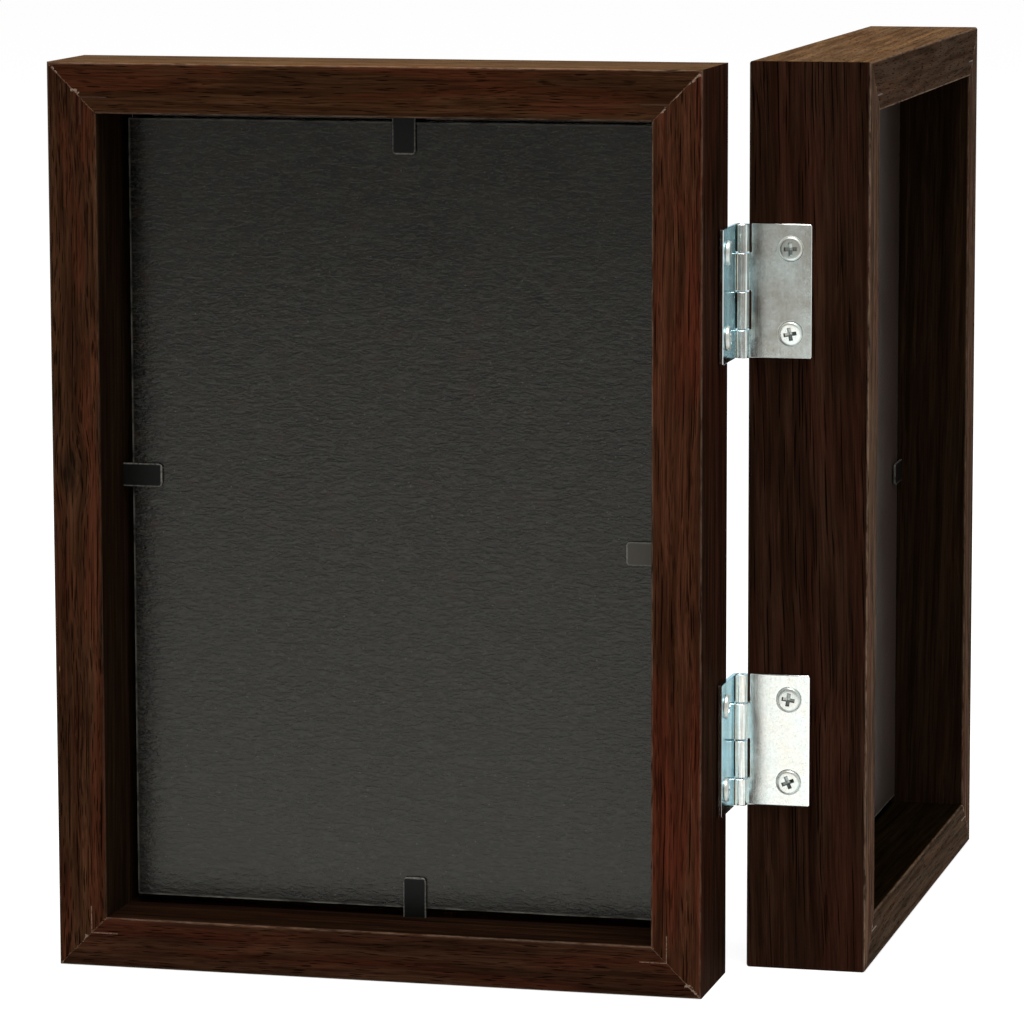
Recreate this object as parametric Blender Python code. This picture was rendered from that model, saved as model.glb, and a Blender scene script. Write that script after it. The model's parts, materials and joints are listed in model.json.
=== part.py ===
"""Bifold photo frame: two deep box frames that fold about a pair of small butt hinges.

Lengths are in metres and +Z is up. The frames stand on their bottom rails, folded to a right
angle. The left frame shows its back towards -Y and the right frame shows its back towards +X.
Each frame is built about the middle of its front face: local X runs across the frame, local Y
runs from the front face to the back, and local Z is up.
"""

import math

import bmesh
import bpy
from mathutils import Matrix, Vector

# The print that each frame is made for, and the room round it in the recess
PRINT_WIDTH = 0.1000
PRINT_HEIGHT = 0.1500
PRINT_THICKNESS = 0.0003
PRINT_SIDE_PLAY = 0.00355
PRINT_END_PLAY = 0.0023

# Frame moulding
FRAME_DEPTH = 0.0233
WALL_THICKNESS = 0.0097
LIP_REACH = 0.0049
LIP_THICKNESS = 0.0033
EDGE_ROUND = 0.0005
GLUE_LINE = 0.0001

# What the frame holds, from the front lip to the back
SEAT_GAP = 0.0003
GLASS_THICKNESS = 0.0018
GLASS_PLAY = 0.0008
BOARD_THICKNESS = 0.0025
BOARD_PLAY = 0.0017
BOARD_EDGE_ROUND = 0.0002

# Flexible tabs: a tongue lies on the board and a shank is driven into the wall
TAB_WIDTH = 0.0045
TAB_REACH = 0.0078
TAB_THICKNESS = 0.0004
TAB_TIP_ROUND = 0.0008
TAB_SHANK = 0.0060
TAB_SLOT_PLAY = 0.00015

# Where each tab stands: from the hinge side on the rails and from the top on the stiles
TAB_PLACE_SHARES = {
    "left": {"top_rail": 0.474, "bottom_rail": 0.462, "outer_stile": 0.455, "hinge_stile": 0.533},
    "right": {"top_rail": 0.520, "bottom_rail": 0.485, "outer_stile": 0.538, "hinge_stile": 0.470},
}

# V-shaped nails driven into the mitres from the back
NAIL_LEG = 0.0055
NAIL_THICKNESS = 0.0004
NAIL_LENGTH = 0.0070
NAIL_APEX_INSET = 0.0033
NAIL_SINK = 0.0001
NAIL_PLAY = 0.00012

# Butt hinges
HINGE_LENGTH = 0.0254
LEAF_REACH = 0.0133
LEAF_THICKNESS = 0.00075
LEAF_CORNER_ROUND = 0.0004
LEAF_SEAT_GAP = 0.0003
KNUCKLE_RADIUS = 0.0015
END_KNUCKLE_LENGTH = 0.0054
KNUCKLE_END_PLAY = 0.00025
NOTCH_PLAY = 0.0003
SEAM_GAP = 0.00015
PIN_PLAY = 0.00008
PIN_CHAMFER = 0.0002
UPPER_HINGE_DROP = 0.0432
LOWER_HINGE_RISE = 0.0447
AXIS_AHEAD_OF_LEFT_FRONT = 0.0037
AXIS_AHEAD_OF_RIGHT_FRONT = 0.0010

# Raised countersunk screws with a cross recess
SCREW_REACH = 0.0093
SCREW_END_INSET = 0.0047
SCREW_HEAD_RADIUS = 0.0023
SCREW_HEAD_RIM = 0.00025
SCREW_HEAD_DOME = 0.0004
SCREW_SHANK_RADIUS = 0.0010
SCREW_LENGTH = 0.0080
SCREW_TIP_LENGTH = 0.0018
SCREW_HOLE_PLAY = 0.00015
RECESS_SPAN = 0.0026
RECESS_ARM = 0.00075
RECESS_DEPTH = 0.0010

# Modelling tolerances
CUT_OVERRUN = 0.0010
MERGE_DISTANCE = 0.000001

# Numbers of facets and shares of other sizes
ROUND_STEPS = 2
CORNER_STEPS = 4
KNUCKLE_STEPS = 20
DOME_STEPS = 4
SCREW_SIDES = 20
PIN_SIDES = 20
RECESS_FLOOR_SHARE = 0.45
TAB_ROOT_ROUND_SHARE = 0.45
SMOOTH_ANGLE = math.radians(35)

# Places that follow from the sizes above
OPENING_WIDTH = PRINT_WIDTH + 2 * PRINT_SIDE_PLAY
OPENING_HEIGHT = PRINT_HEIGHT + 2 * PRINT_END_PLAY
FRAME_WIDTH = OPENING_WIDTH + 2 * WALL_THICKNESS
FRAME_HEIGHT = OPENING_HEIGHT + 2 * WALL_THICKNESS
GLASS_FRONT = LIP_THICKNESS + SEAT_GAP
PRINT_FRONT = GLASS_FRONT + GLASS_THICKNESS + SEAT_GAP
BOARD_FRONT = PRINT_FRONT + PRINT_THICKNESS + SEAT_GAP
BOARD_BACK = BOARD_FRONT + BOARD_THICKNESS
TAB_DEPTH = BOARD_BACK + SEAT_GAP + TAB_THICKNESS / 2
TAB_AXIS_RISE = SEAT_GAP + TAB_THICKNESS / 2
BORE_RADIUS = KNUCKLE_RADIUS - LEAF_THICKNESS
AXIS_OFF_SIDE = KNUCKLE_RADIUS + LEAF_SEAT_GAP
RIGHT_FRONT_X = AXIS_OFF_SIDE + AXIS_AHEAD_OF_RIGHT_FRONT
AXIS_Y = FRAME_DEPTH + AXIS_AHEAD_OF_LEFT_FRONT
RIGHT_SIDE_Y = AXIS_Y + AXIS_OFF_SIDE
CENTRE_X = (RIGHT_FRONT_X + FRAME_DEPTH - FRAME_WIDTH) / 2
CENTRE_Y = (RIGHT_SIDE_Y + FRAME_WIDTH) / 2
HINGE_HEIGHTS = {
    "upper": FRAME_HEIGHT - UPPER_HINGE_DROP,
    "lower": LOWER_HINGE_RISE,
}

# Plain helpers


def clear_scene():
    """Start from an empty scene."""
    for item in list(bpy.data.objects):
        bpy.data.objects.remove(item, do_unlink=True)


def make_material(name, colour, roughness, metallic=0.0, transmission=0.0):
    """Return a Principled material with the given base values."""
    material = bpy.data.materials.new(name)
    material.use_nodes = True
    shader = material.node_tree.nodes["Principled BSDF"]
    shader.inputs["Base Color"].default_value = (*colour, 1.0)
    shader.inputs["Roughness"].default_value = roughness
    shader.inputs["Metallic"].default_value = metallic
    shader.inputs["Transmission Weight"].default_value = transmission
    return material


def make_empty(name, parent=None, location=(0, 0, 0), turn=0.0):
    """Return an empty turned about the vertical."""
    empty = bpy.data.objects.new(name, None)
    empty.parent = parent
    empty.location = location
    empty.rotation_euler = (0, 0, turn)
    bpy.context.scene.collection.objects.link(empty)
    return empty


def to_mesh(name, bm):
    """Close a bmesh, point its faces outwards and return it as a mesh."""
    bmesh.ops.remove_doubles(bm, verts=bm.verts, dist=MERGE_DISTANCE)
    bmesh.ops.recalc_face_normals(bm, faces=bm.faces)
    mesh = bpy.data.meshes.new(name)
    bm.to_mesh(mesh)
    bm.free()
    return mesh


def place(name, mesh, material=None, parent=None, location=(0, 0, 0), rotation=(0, 0, 0)):
    """Return an object that shows a mesh at its place under a parent."""
    item = bpy.data.objects.new(name, mesh)
    item.parent = parent
    item.location = location
    item.rotation_euler = rotation
    bpy.context.scene.collection.objects.link(item)
    if material and not mesh.materials:
        mesh.materials.append(material)
    return item


def place_cutter(name, mesh, parent=None, location=(0, 0, 0), rotation=(0, 0, 0)):
    """Return an object that only cuts others."""
    cutter = place(name, mesh, None, parent, location, rotation)
    cutter.display_type = "WIRE"
    cutter.hide_render = True
    return cutter


def cut(target, cutter):
    """Cut one object with another by a modifier that stays on it."""
    modifier = target.modifiers.new(cutter.name, "BOOLEAN")
    modifier.operation = "DIFFERENCE"
    modifier.solver = "EXACT"
    modifier.object = cutter


def shade_round(mesh):
    """Shade curved faces smooth and keep real edges sharp."""
    mesh.shade_smooth()
    mesh.set_sharp_from_angle(angle=SMOOTH_ANGLE)


def cut_mesh(name, mesh, cutters):
    """Return a mesh with every cutter mesh taken out of it."""
    blank = place(name, mesh)
    tools = [place_cutter(name + "_cutter", tool, None, *spot) for tool, spot in cutters]
    for tool in tools:
        cut(blank, tool)
    graph = bpy.context.evaluated_depsgraph_get()
    result = bpy.data.meshes.new_from_object(blank.evaluated_get(graph))
    for item in [blank, *tools]:
        bpy.data.objects.remove(item, do_unlink=True)
    result.name = name
    return result


# Outlines and solids


def arc(centre, radius, start, end, steps):
    """Return the points of an arc, both ends included."""
    turns = [start + (end - start) * step / steps for step in range(steps + 1)]
    return [(centre[0] + radius * math.cos(a), centre[1] + radius * math.sin(a)) for a in turns]


def rounded(corners, steps):
    """Return an outline whose corners, each given as (x, y, radius), are rounded."""
    points = []
    for index, (x, y, radius) in enumerate(corners):
        here = Vector((x, y))
        if not radius:
            points.append((x, y))
            continue
        before = (Vector(corners[index - 1][:2]) - here).normalized()
        after = (Vector(corners[(index + 1) % len(corners)][:2]) - here).normalized()
        half = before.angle(after) / 2
        centre = here + (before + after).normalized() * radius / math.sin(half)
        first = here + before * radius / math.tan(half) - centre
        last = here + after * radius / math.tan(half) - centre
        sweep = first.angle_signed(last)
        for step in range(steps + 1):
            spoke = Matrix.Rotation(-sweep * step / steps, 2) @ first
            points.append(tuple(centre + spoke))
    return points


def rectangle(width, height, radius=0.0, steps=ROUND_STEPS):
    """Return a centred rectangle, its corners rounded if a radius is given."""
    x, y = width / 2, height / 2
    corners = [(-x, -y, radius), (x, -y, radius), (x, y, radius), (-x, y, radius)]
    return rounded(corners, steps)


def extrude(outline, low, high, axis="Z"):
    """Return a bmesh of an outline extruded along an axis."""
    bm = bmesh.new()
    stand = {
        "X": lambda a, b: (low, a, b),
        "Y": lambda a, b: (a, low, b),
        "Z": lambda a, b: (a, b, low),
    }[axis]
    face = bm.faces.new([bm.verts.new(stand(a, b)) for a, b in outline])
    grown = bmesh.ops.extrude_face_region(bm, geom=[face])
    moved = [part for part in grown["geom"] if isinstance(part, bmesh.types.BMVert)]
    shift = Vector((axis == "X", axis == "Y", axis == "Z")) * (high - low)
    bmesh.ops.translate(bm, verts=moved, vec=shift)
    return bm


def box(low, high):
    """Return a bmesh of a box between two opposite corners."""
    outline = [(low[0], low[1]), (high[0], low[1]), (high[0], high[1]), (low[0], high[1])]
    return extrude(outline, low[2], high[2])


def turned(profile, sides):
    """Return a bmesh of a profile of (radius, height) points turned about Z."""
    bm = bmesh.new()
    verts = [bm.verts.new((radius, 0, height)) for radius, height in profile]
    edges = [bm.edges.new(pair) for pair in zip(verts, verts[1:])]
    bmesh.ops.spin(
        bm, geom=verts + edges, cent=(0, 0, 0), axis=(0, 0, 1), angle=math.tau, steps=sides,
    )
    return bm


def bevel_edges(bm, chosen, radius, steps):
    """Round the edges for which chosen(edge) is true."""
    edges = [edge for edge in bm.edges if chosen(edge)]
    bmesh.ops.bevel(
        bm, geom=edges, offset=radius, segments=steps, profile=0.5, affect="EDGES",
    )


# Frame moulding


def rail_profile():
    """Return the moulding's section as (depth from the front, distance from the outer face)."""
    lip_edge = WALL_THICKNESS + LIP_REACH
    corners = [
        (0, 0, EDGE_ROUND),
        (0, lip_edge, EDGE_ROUND),
        (LIP_THICKNESS, lip_edge, 0),
        (LIP_THICKNESS, WALL_THICKNESS, 0),
        (FRAME_DEPTH, WALL_THICKNESS, EDGE_ROUND),
        (FRAME_DEPTH, 0, EDGE_ROUND),
    ]
    return rounded(corners, ROUND_STEPS)


def rail_mesh(name, length):
    """Return a rail along X with mitred ends: its outer face at Z = 0 and its front at Y = 0."""
    bm = extrude(rail_profile(), -length / 2, length / 2, "X")
    for vert in bm.verts:
        half = length / 2 - vert.co.z - GLUE_LINE
        vert.co.x = math.copysign(half, vert.co.x)
    mesh = to_mesh(name, bm)
    shade_round(mesh)
    return mesh


def rail_layout(hinge_sign):
    """Return each rail's name, length, place and turn about the frame's depth."""
    across = FRAME_WIDTH / 2
    up = FRAME_HEIGHT / 2
    quarter = math.pi / 2
    return [
        ("top_rail", FRAME_WIDTH, (0, 0, up), math.pi),
        ("bottom_rail", FRAME_WIDTH, (0, 0, -up), 0.0),
        ("hinge_stile", FRAME_HEIGHT, (hinge_sign * across, 0, 0), -hinge_sign * quarter),
        ("outer_stile", FRAME_HEIGHT, (-hinge_sign * across, 0, 0), hinge_sign * quarter),
    ]


def make_rails(side, centre, hinge_sign, wood):
    """Make the four mitred rails of one frame."""
    rails = {}
    for name, length, location, turn in rail_layout(hinge_sign):
        mesh = rail_mesh(f"{side}_{name}", length)
        rails[name] = place(f"{side}_{name}", mesh, wood, centre, location, (0, turn, 0))
    return rails


# V-shaped nails


def nail_outline(play):
    """Return the nail's right-angled outline, grown by some play, with its apex near zero."""
    inner = NAIL_THICKNESS + play
    tip = NAIL_LEG + play
    return [(-play, -play), (tip, -play), (tip, inner), (inner, inner), (inner, tip), (-play, tip)]


def nail_mesh(name, back, front, play, x_sign, z_sign):
    """Return a nail, or the slot for it, at the corner that the two signs give."""
    apex_x = x_sign * (OPENING_WIDTH / 2 + NAIL_APEX_INSET)
    apex_z = z_sign * (OPENING_HEIGHT / 2 + NAIL_APEX_INSET)
    outline = [(apex_x - x_sign * a, apex_z - z_sign * b) for a, b in nail_outline(play)]
    return to_mesh(name, extrude(outline, front, back, "Y"))


def make_nails(side, centre, hinge_sign, rails, steel):
    """Make a nail across each mitre and cut its slot into both rails."""
    nail_back = FRAME_DEPTH - NAIL_SINK
    nail_front = nail_back - NAIL_LENGTH
    for row, z_sign in (("top", 1), ("bottom", -1)):
        for column, x_sign in (("hinge", hinge_sign), ("outer", -hinge_sign)):
            name = f"{side}_{row}_{column}_corner_nail"
            mesh = nail_mesh(name, nail_back, nail_front, 0, x_sign, z_sign)
            place(name, mesh, steel, centre)
            slot = nail_mesh(
                name + "_slot", FRAME_DEPTH + CUT_OVERRUN, nail_front - NAIL_PLAY, NAIL_PLAY,
                x_sign, z_sign,
            )
            cutter = place_cutter(name + "_slot", slot, centre)
            cut(rails[f"{row}_rail"], cutter)
            cut(rails[f"{column}_stile"], cutter)


# Glass, print and backing board


def sheet_mesh(name, width, height, front, thickness, edge_round=0.0):
    """Return an upright sheet centred on the frame."""
    bm = extrude(rectangle(width, height), front, front + thickness, "Y")
    if edge_round:
        bevel_edges(bm, lambda edge: True, edge_round, 1)
    return to_mesh(name, bm)


def make_filling(side, centre, glass, paper, board):
    """Make the sheets that lie between the front lip and the tabs."""
    sheets = [
        ("glass", OPENING_WIDTH - 2 * GLASS_PLAY, OPENING_HEIGHT - 2 * GLASS_PLAY,
         GLASS_FRONT, GLASS_THICKNESS, 0, glass),
        ("blank_print", PRINT_WIDTH, PRINT_HEIGHT, PRINT_FRONT, PRINT_THICKNESS, 0, paper),
        ("backing_board", OPENING_WIDTH - 2 * BOARD_PLAY, OPENING_HEIGHT - 2 * BOARD_PLAY,
         BOARD_FRONT, BOARD_THICKNESS, BOARD_EDGE_ROUND, board),
    ]
    for name, width, height, front, thickness, edge_round, material in sheets:
        mesh = sheet_mesh(f"{side}_{name}", width, height, front, thickness, edge_round)
        place(f"{side}_{name}", mesh, material, centre)


# Flexible tabs


def tongue_mesh():
    """Return a tab's free tongue: its bend axis is X and it points along Z."""
    half = TAB_WIDTH / 2
    tip = TAB_REACH - TAB_AXIS_RISE
    root = -TAB_THICKNESS / 2
    corners = [
        (-half, root, 0),
        (half, root, 0),
        (half, tip, TAB_TIP_ROUND),
        (-half, tip, TAB_TIP_ROUND),
    ]
    outline = rounded(corners, CORNER_STEPS)
    bm = extrude(outline, -TAB_THICKNESS / 2, TAB_THICKNESS / 2, "Y")
    nearly_root = root + MERGE_DISTANCE
    bevel_edges(
        bm,
        lambda edge: all(v.co.z < nearly_root for v in edge.verts)
        and abs(edge.verts[0].co.x - edge.verts[1].co.x) > half,
        TAB_THICKNESS * TAB_ROOT_ROUND_SHARE,
        CORNER_STEPS,
    )
    mesh = to_mesh("tab_tongue", bm)
    shade_round(mesh)
    return mesh


def shank_mesh(name, play, mouth):
    """Return the driven end of a tab, or the slot for it, from the wall's inner face outwards."""
    x = TAB_WIDTH / 2 + play
    y = TAB_THICKNESS / 2 + play
    return to_mesh(name, box((-x, -y, -TAB_SHANK - play), (x, y, mouth)))


def tab_offset(side, rail_name, rail, hinge_sign):
    """Return how far a tab stands from the middle of its rail, along the rail's own X."""
    share = TAB_PLACE_SHARES[side][rail_name]
    if rail_name.endswith("rail"):
        spot = Vector((hinge_sign * (0.5 - share) * OPENING_WIDTH, 0, 0))
    else:
        spot = Vector((0, 0, (0.5 - share) * OPENING_HEIGHT))
    return spot.dot(rail.rotation_euler.to_matrix() @ Vector((1, 0, 0)))


def make_tabs(side, hinge_sign, rails, steel, meshes):
    """Make one tab on each rail, with its shank in a slot in the wall."""
    for rail_name, rail in rails.items():
        x = tab_offset(side, rail_name, rail, hinge_sign)
        name = f"{side}_{rail_name.replace('_rail', '').replace('_stile', '')}_tab"
        seat = (x, TAB_DEPTH, WALL_THICKNESS)
        place(name + "_shank", meshes["shank"], steel, rail, seat)
        place(name, meshes["tongue"], steel, rail, (x, TAB_DEPTH, WALL_THICKNESS + TAB_AXIS_RISE))
        cut(rail, place_cutter(name + "_slot", meshes["slot"], rail, seat))


# Hinge leaves, pins and screws


def leaf_profile():
    """Return a leaf's section: a flat plate rolled into a knuckle about the hinge axis."""
    face = -BORE_RADIUS
    seam = -math.asin((BORE_RADIUS - SEAM_GAP) / KNUCKLE_RADIUS) - math.tau
    start = -math.pi / 2
    outside = arc((0, 0), KNUCKLE_RADIUS, start, seam, KNUCKLE_STEPS)
    inside = arc((0, 0), BORE_RADIUS, seam, start, KNUCKLE_STEPS)
    return [(LEAF_REACH, -KNUCKLE_RADIUS), *outside, *inside, (LEAF_REACH, face)]


def notch_mesh(low, high):
    """Return the cutter that clears one knuckle of the other leaf."""
    swing = KNUCKLE_RADIUS + CUT_OVERRUN
    near = KNUCKLE_RADIUS + NOTCH_PLAY
    return to_mesh("knuckle_notch", box((-swing, -swing, low), (near, swing, high)))


def leaf_mesh():
    """Return a leaf that carries the first and third knuckles from its top."""
    half = HINGE_LENGTH / 2
    bm = extrude(leaf_profile(), -half, half, "Z")
    bevel_edges(
        bm,
        lambda edge: all(
            v.co.x > LEAF_REACH - MERGE_DISTANCE and abs(v.co.z) > half - MERGE_DISTANCE
            for v in edge.verts
        ) and edge.verts[0].co.z * edge.verts[1].co.z > 0,
        LEAF_CORNER_ROUND,
        CORNER_STEPS,
    )
    end = half - END_KNUCKLE_LENGTH
    play = KNUCKLE_END_PLAY / 2
    cutters = [
        (notch_mesh(-play, end + play), ()),
        (notch_mesh(-half - CUT_OVERRUN, -end + play), ()),
    ]
    hole = screw_hole_mesh()
    for spot in screw_spots():
        cutters.append((hole, (spot, (-math.pi / 2, 0, 0))))
    mesh = cut_mesh("hinge_leaf", to_mesh("hinge_leaf_blank", bm), cutters)
    shade_round(mesh)
    return mesh


def screw_spots():
    """Return the two screws' places on a leaf's upper face."""
    z = HINGE_LENGTH / 2 - SCREW_END_INSET
    return [(SCREW_REACH, -BORE_RADIUS, z), (SCREW_REACH, -BORE_RADIUS, -z)]


def screw_hole_mesh():
    """Return a cutter that leaves play all round a screw."""
    neck = SCREW_SHANK_RADIUS - SCREW_HEAD_RADIUS
    head = SCREW_HEAD_RADIUS + SCREW_HOLE_PLAY
    shank = SCREW_SHANK_RADIUS + SCREW_HOLE_PLAY
    top = SCREW_HEAD_RIM + SCREW_HEAD_DOME + CUT_OVERRUN
    bottom = -SCREW_LENGTH - SCREW_HOLE_PLAY
    profile = [(0, top), (head, top), (head, 0), (shank, neck), (shank, bottom), (0, bottom)]
    return to_mesh("screw_hole", turned(profile, SCREW_SIDES))


def screw_profile():
    """Return a raised countersunk screw's outline from the top of its head to its tip."""
    head = SCREW_HEAD_RADIUS
    dome = SCREW_HEAD_DOME
    ball = (head ** 2 + dome ** 2) / (2 * dome)
    rim = math.asin(head / ball)
    angles = [rim * step / DOME_STEPS for step in range(DOME_STEPS + 1)]
    top = SCREW_HEAD_RIM + dome
    cap = [(ball * math.sin(a), ball * math.cos(a) - ball + top) for a in angles]
    neck = SCREW_SHANK_RADIUS - head
    return [
        *cap,
        (head, 0),
        (SCREW_SHANK_RADIUS, neck),
        (SCREW_SHANK_RADIUS, SCREW_TIP_LENGTH - SCREW_LENGTH),
        (0, -SCREW_LENGTH),
    ]


def recess_mesh():
    """Return the tapered cross that a driver fits."""
    arm = RECESS_ARM / 2
    reach = RECESS_SPAN / 2
    quarter = [(arm, arm), (arm, reach), (-arm, reach), (-arm, arm)]
    outline = []
    for step in range(4):
        turn = Matrix.Rotation(step * math.pi / 2, 2)
        outline.extend(tuple(turn @ Vector(point)) for point in quarter[:3])
    floor = SCREW_HEAD_RIM + SCREW_HEAD_DOME - RECESS_DEPTH
    top = floor + RECESS_DEPTH + CUT_OVERRUN
    bm = extrude(outline, floor, top, "Z")
    for vert in bm.verts:
        share = (vert.co.z - floor) / RECESS_DEPTH
        width = RECESS_FLOOR_SHARE + (1 - RECESS_FLOOR_SHARE) * share
        vert.co.x *= width
        vert.co.y *= width
    return to_mesh("screw_recess", bm)


def screw_mesh():
    """Return one screw with its axis along Z and its seat at Z = 0."""
    blank = to_mesh("screw_blank", turned(screw_profile(), SCREW_SIDES))
    mesh = cut_mesh("hinge_screw", blank, [(recess_mesh(), ())])
    shade_round(mesh)
    return mesh


def pin_mesh():
    """Return a hinge pin with chamfered ends."""
    radius = BORE_RADIUS - PIN_PLAY
    half = HINGE_LENGTH / 2
    profile = [
        (0, half),
        (radius - PIN_CHAMFER, half),
        (radius, half - PIN_CHAMFER),
        (radius, PIN_CHAMFER - half),
        (radius - PIN_CHAMFER, -half),
        (0, -half),
    ]
    mesh = to_mesh("hinge_pin", turned(profile, PIN_SIDES))
    shade_round(mesh)
    return mesh


def make_leaf(name, parent, height, rotation, stile, meshes, materials):
    """Make a leaf with its two screws and drill the stile behind it."""
    leaf = place(name, meshes["leaf"], materials["hinge"], parent, (0, 0, height), rotation)
    for place_name, spot in zip(("first", "second"), screw_spots()):
        screw_name = f"{name}_{place_name}_screw"
        into_wood = (-math.pi / 2, 0, 0)
        place(screw_name, meshes["screw"], materials["screw"], leaf, spot, into_wood)
        cut(stile, place_cutter(screw_name + "_hole", meshes["hole"], leaf, spot, into_wood))


def make_hinge(name, height, fixed_axis, fold_axis, stiles, meshes, materials):
    """Make one butt hinge: a leaf on each frame and the pin between them."""
    towards_camera = (0, 0, -math.pi / 2)
    upside_down = (math.pi, 0, 0)
    make_leaf(
        f"{name}_left_leaf", fixed_axis, height, towards_camera, stiles["left"], meshes, materials,
    )
    make_leaf(
        f"{name}_right_leaf", fold_axis, height, upside_down, stiles["right"], meshes, materials,
    )
    place(f"{name}_pin", meshes["pin"], materials["pin"], fixed_axis, (0, 0, height))


# Materials


def make_materials():
    """Return the materials, by the pieces that they cover."""
    return {
        "wood": make_material("stained_wood", (0.045, 0.018, 0.010), 0.55),
        "glass": make_material("clear_glass", (0.9, 0.95, 0.93), 0.03, transmission=1.0),
        "paper": make_material("blank_paper", (0.80, 0.79, 0.76), 0.85),
        "board": make_material("backing_fibreboard", (0.035, 0.035, 0.032), 0.80),
        "tab": make_material("black_spring_steel", (0.012, 0.012, 0.012), 0.40, 0.6),
        "nail": make_material("nail_steel", (0.42, 0.36, 0.28), 0.50, 1.0),
        "hinge": make_material("zinc_plated_steel", (0.62, 0.65, 0.66), 0.28, 1.0),
        "pin": make_material("pin_steel", (0.58, 0.60, 0.62), 0.30, 1.0),
        "screw": make_material("screw_steel", (0.66, 0.67, 0.68), 0.30, 1.0),
    }


def make_meshes():
    """Return the meshes that repeated pieces share."""
    return {
        "tongue": tongue_mesh(),
        "shank": shank_mesh("tab_shank", 0, 0),
        "slot": shank_mesh("tab_slot", TAB_SLOT_PLAY, CUT_OVERRUN),
        "leaf": leaf_mesh(),
        "screw": screw_mesh(),
        "hole": screw_hole_mesh(),
        "pin": pin_mesh(),
    }


def make_frame(side, parent, location, turn, hinge_sign, meshes, materials):
    """Make one frame with everything it holds and return its rails."""
    centre = make_empty(f"{side}_frame_centre", parent, location, turn)
    rails = make_rails(side, centre, hinge_sign, materials["wood"])
    make_nails(side, centre, hinge_sign, rails, materials["nail"])
    make_filling(side, centre, materials["glass"], materials["paper"], materials["board"])
    make_tabs(side, hinge_sign, rails, materials["tab"], meshes)
    return rails


def main():
    """Build the pair of frames about the middle of their footprint."""
    clear_scene()
    materials = make_materials()
    meshes = make_meshes()
    root = make_empty("bifold_photo_frame", None, (-CENTRE_X, -CENTRE_Y, 0))
    fixed_axis = make_empty("fixed_hinge_axis", root, (AXIS_OFF_SIDE, AXIS_Y, 0))
    fold_axis = make_empty("fold_axis", root, (AXIS_OFF_SIDE, AXIS_Y, 0))
    middle = FRAME_HEIGHT / 2
    left_spot = (-FRAME_WIDTH / 2, FRAME_DEPTH, middle)
    right_spot = (AXIS_AHEAD_OF_RIGHT_FRONT, AXIS_OFF_SIDE + FRAME_WIDTH / 2, middle)
    left = make_frame("left", root, left_spot, math.pi, -1, meshes, materials)
    right = make_frame("right", fold_axis, right_spot, -math.pi / 2, 1, meshes, materials)
    stiles = {"left": left["hinge_stile"], "right": right["hinge_stile"]}
    for name, height in HINGE_HEIGHTS.items():
        make_hinge(f"{name}_hinge", height, fixed_axis, fold_axis, stiles, meshes, materials)


main()
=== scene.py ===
"""Looks of the bifold photo frame: the finish of each piece, the light, the floor and the camera."""
import json
import math
from collections import namedtuple
from itertools import product

import bmesh
import bpy
from mathutils import Matrix, Vector, noise

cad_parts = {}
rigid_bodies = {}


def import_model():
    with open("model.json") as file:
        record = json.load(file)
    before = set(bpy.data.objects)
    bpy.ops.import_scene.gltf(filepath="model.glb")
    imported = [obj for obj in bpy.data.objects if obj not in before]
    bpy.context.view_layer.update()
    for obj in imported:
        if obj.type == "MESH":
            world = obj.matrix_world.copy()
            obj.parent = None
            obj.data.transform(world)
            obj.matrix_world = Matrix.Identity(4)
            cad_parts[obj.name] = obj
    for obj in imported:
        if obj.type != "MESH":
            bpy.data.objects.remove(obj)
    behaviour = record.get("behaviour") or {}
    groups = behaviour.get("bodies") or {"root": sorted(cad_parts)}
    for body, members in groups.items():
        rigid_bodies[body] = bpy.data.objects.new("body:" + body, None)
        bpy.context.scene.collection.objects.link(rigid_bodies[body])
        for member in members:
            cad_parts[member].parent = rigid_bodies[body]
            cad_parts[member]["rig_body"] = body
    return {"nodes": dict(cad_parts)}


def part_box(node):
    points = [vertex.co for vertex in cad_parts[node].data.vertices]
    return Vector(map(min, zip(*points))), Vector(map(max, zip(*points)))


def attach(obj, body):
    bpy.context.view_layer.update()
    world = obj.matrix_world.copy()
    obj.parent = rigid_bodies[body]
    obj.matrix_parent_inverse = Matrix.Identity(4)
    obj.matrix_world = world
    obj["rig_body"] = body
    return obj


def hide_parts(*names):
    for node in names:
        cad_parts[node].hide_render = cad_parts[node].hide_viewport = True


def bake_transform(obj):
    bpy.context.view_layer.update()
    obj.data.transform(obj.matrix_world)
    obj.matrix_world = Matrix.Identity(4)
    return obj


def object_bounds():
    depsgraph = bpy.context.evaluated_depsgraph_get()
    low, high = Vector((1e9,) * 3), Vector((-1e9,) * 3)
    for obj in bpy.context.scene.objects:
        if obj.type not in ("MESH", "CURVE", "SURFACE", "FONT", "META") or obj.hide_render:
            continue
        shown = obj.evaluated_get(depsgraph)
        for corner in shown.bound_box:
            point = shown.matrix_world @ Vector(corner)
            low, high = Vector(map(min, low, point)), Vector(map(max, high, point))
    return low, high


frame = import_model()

CAD_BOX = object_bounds()
MM = 0.001
NODES = frame["nodes"]

# Camera: the place and the turn that put the frame's corners where the photograph has them
CAMERA_PLACE = (0.24899, -1.01846, 0.23246)
CAMERA_PITCH = math.radians(-8.2876)
CAMERA_YAW = math.radians(14.0241)
CAMERA_ROLL = math.radians(0.1578)
CAMERA_LENS = 184.66
SENSOR_WIDTH = 36.0

# Moulding section and mitres, as in the solids
WALL = 9.7 * MM
LIP_REACH = 4.9 * MM
LIP_THICKNESS = 3.3 * MM
EDGE_ROUND = 0.6 * MM
LIP_ROUND = 0.45 * MM
GLUE_LINE = 0.1 * MM

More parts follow.
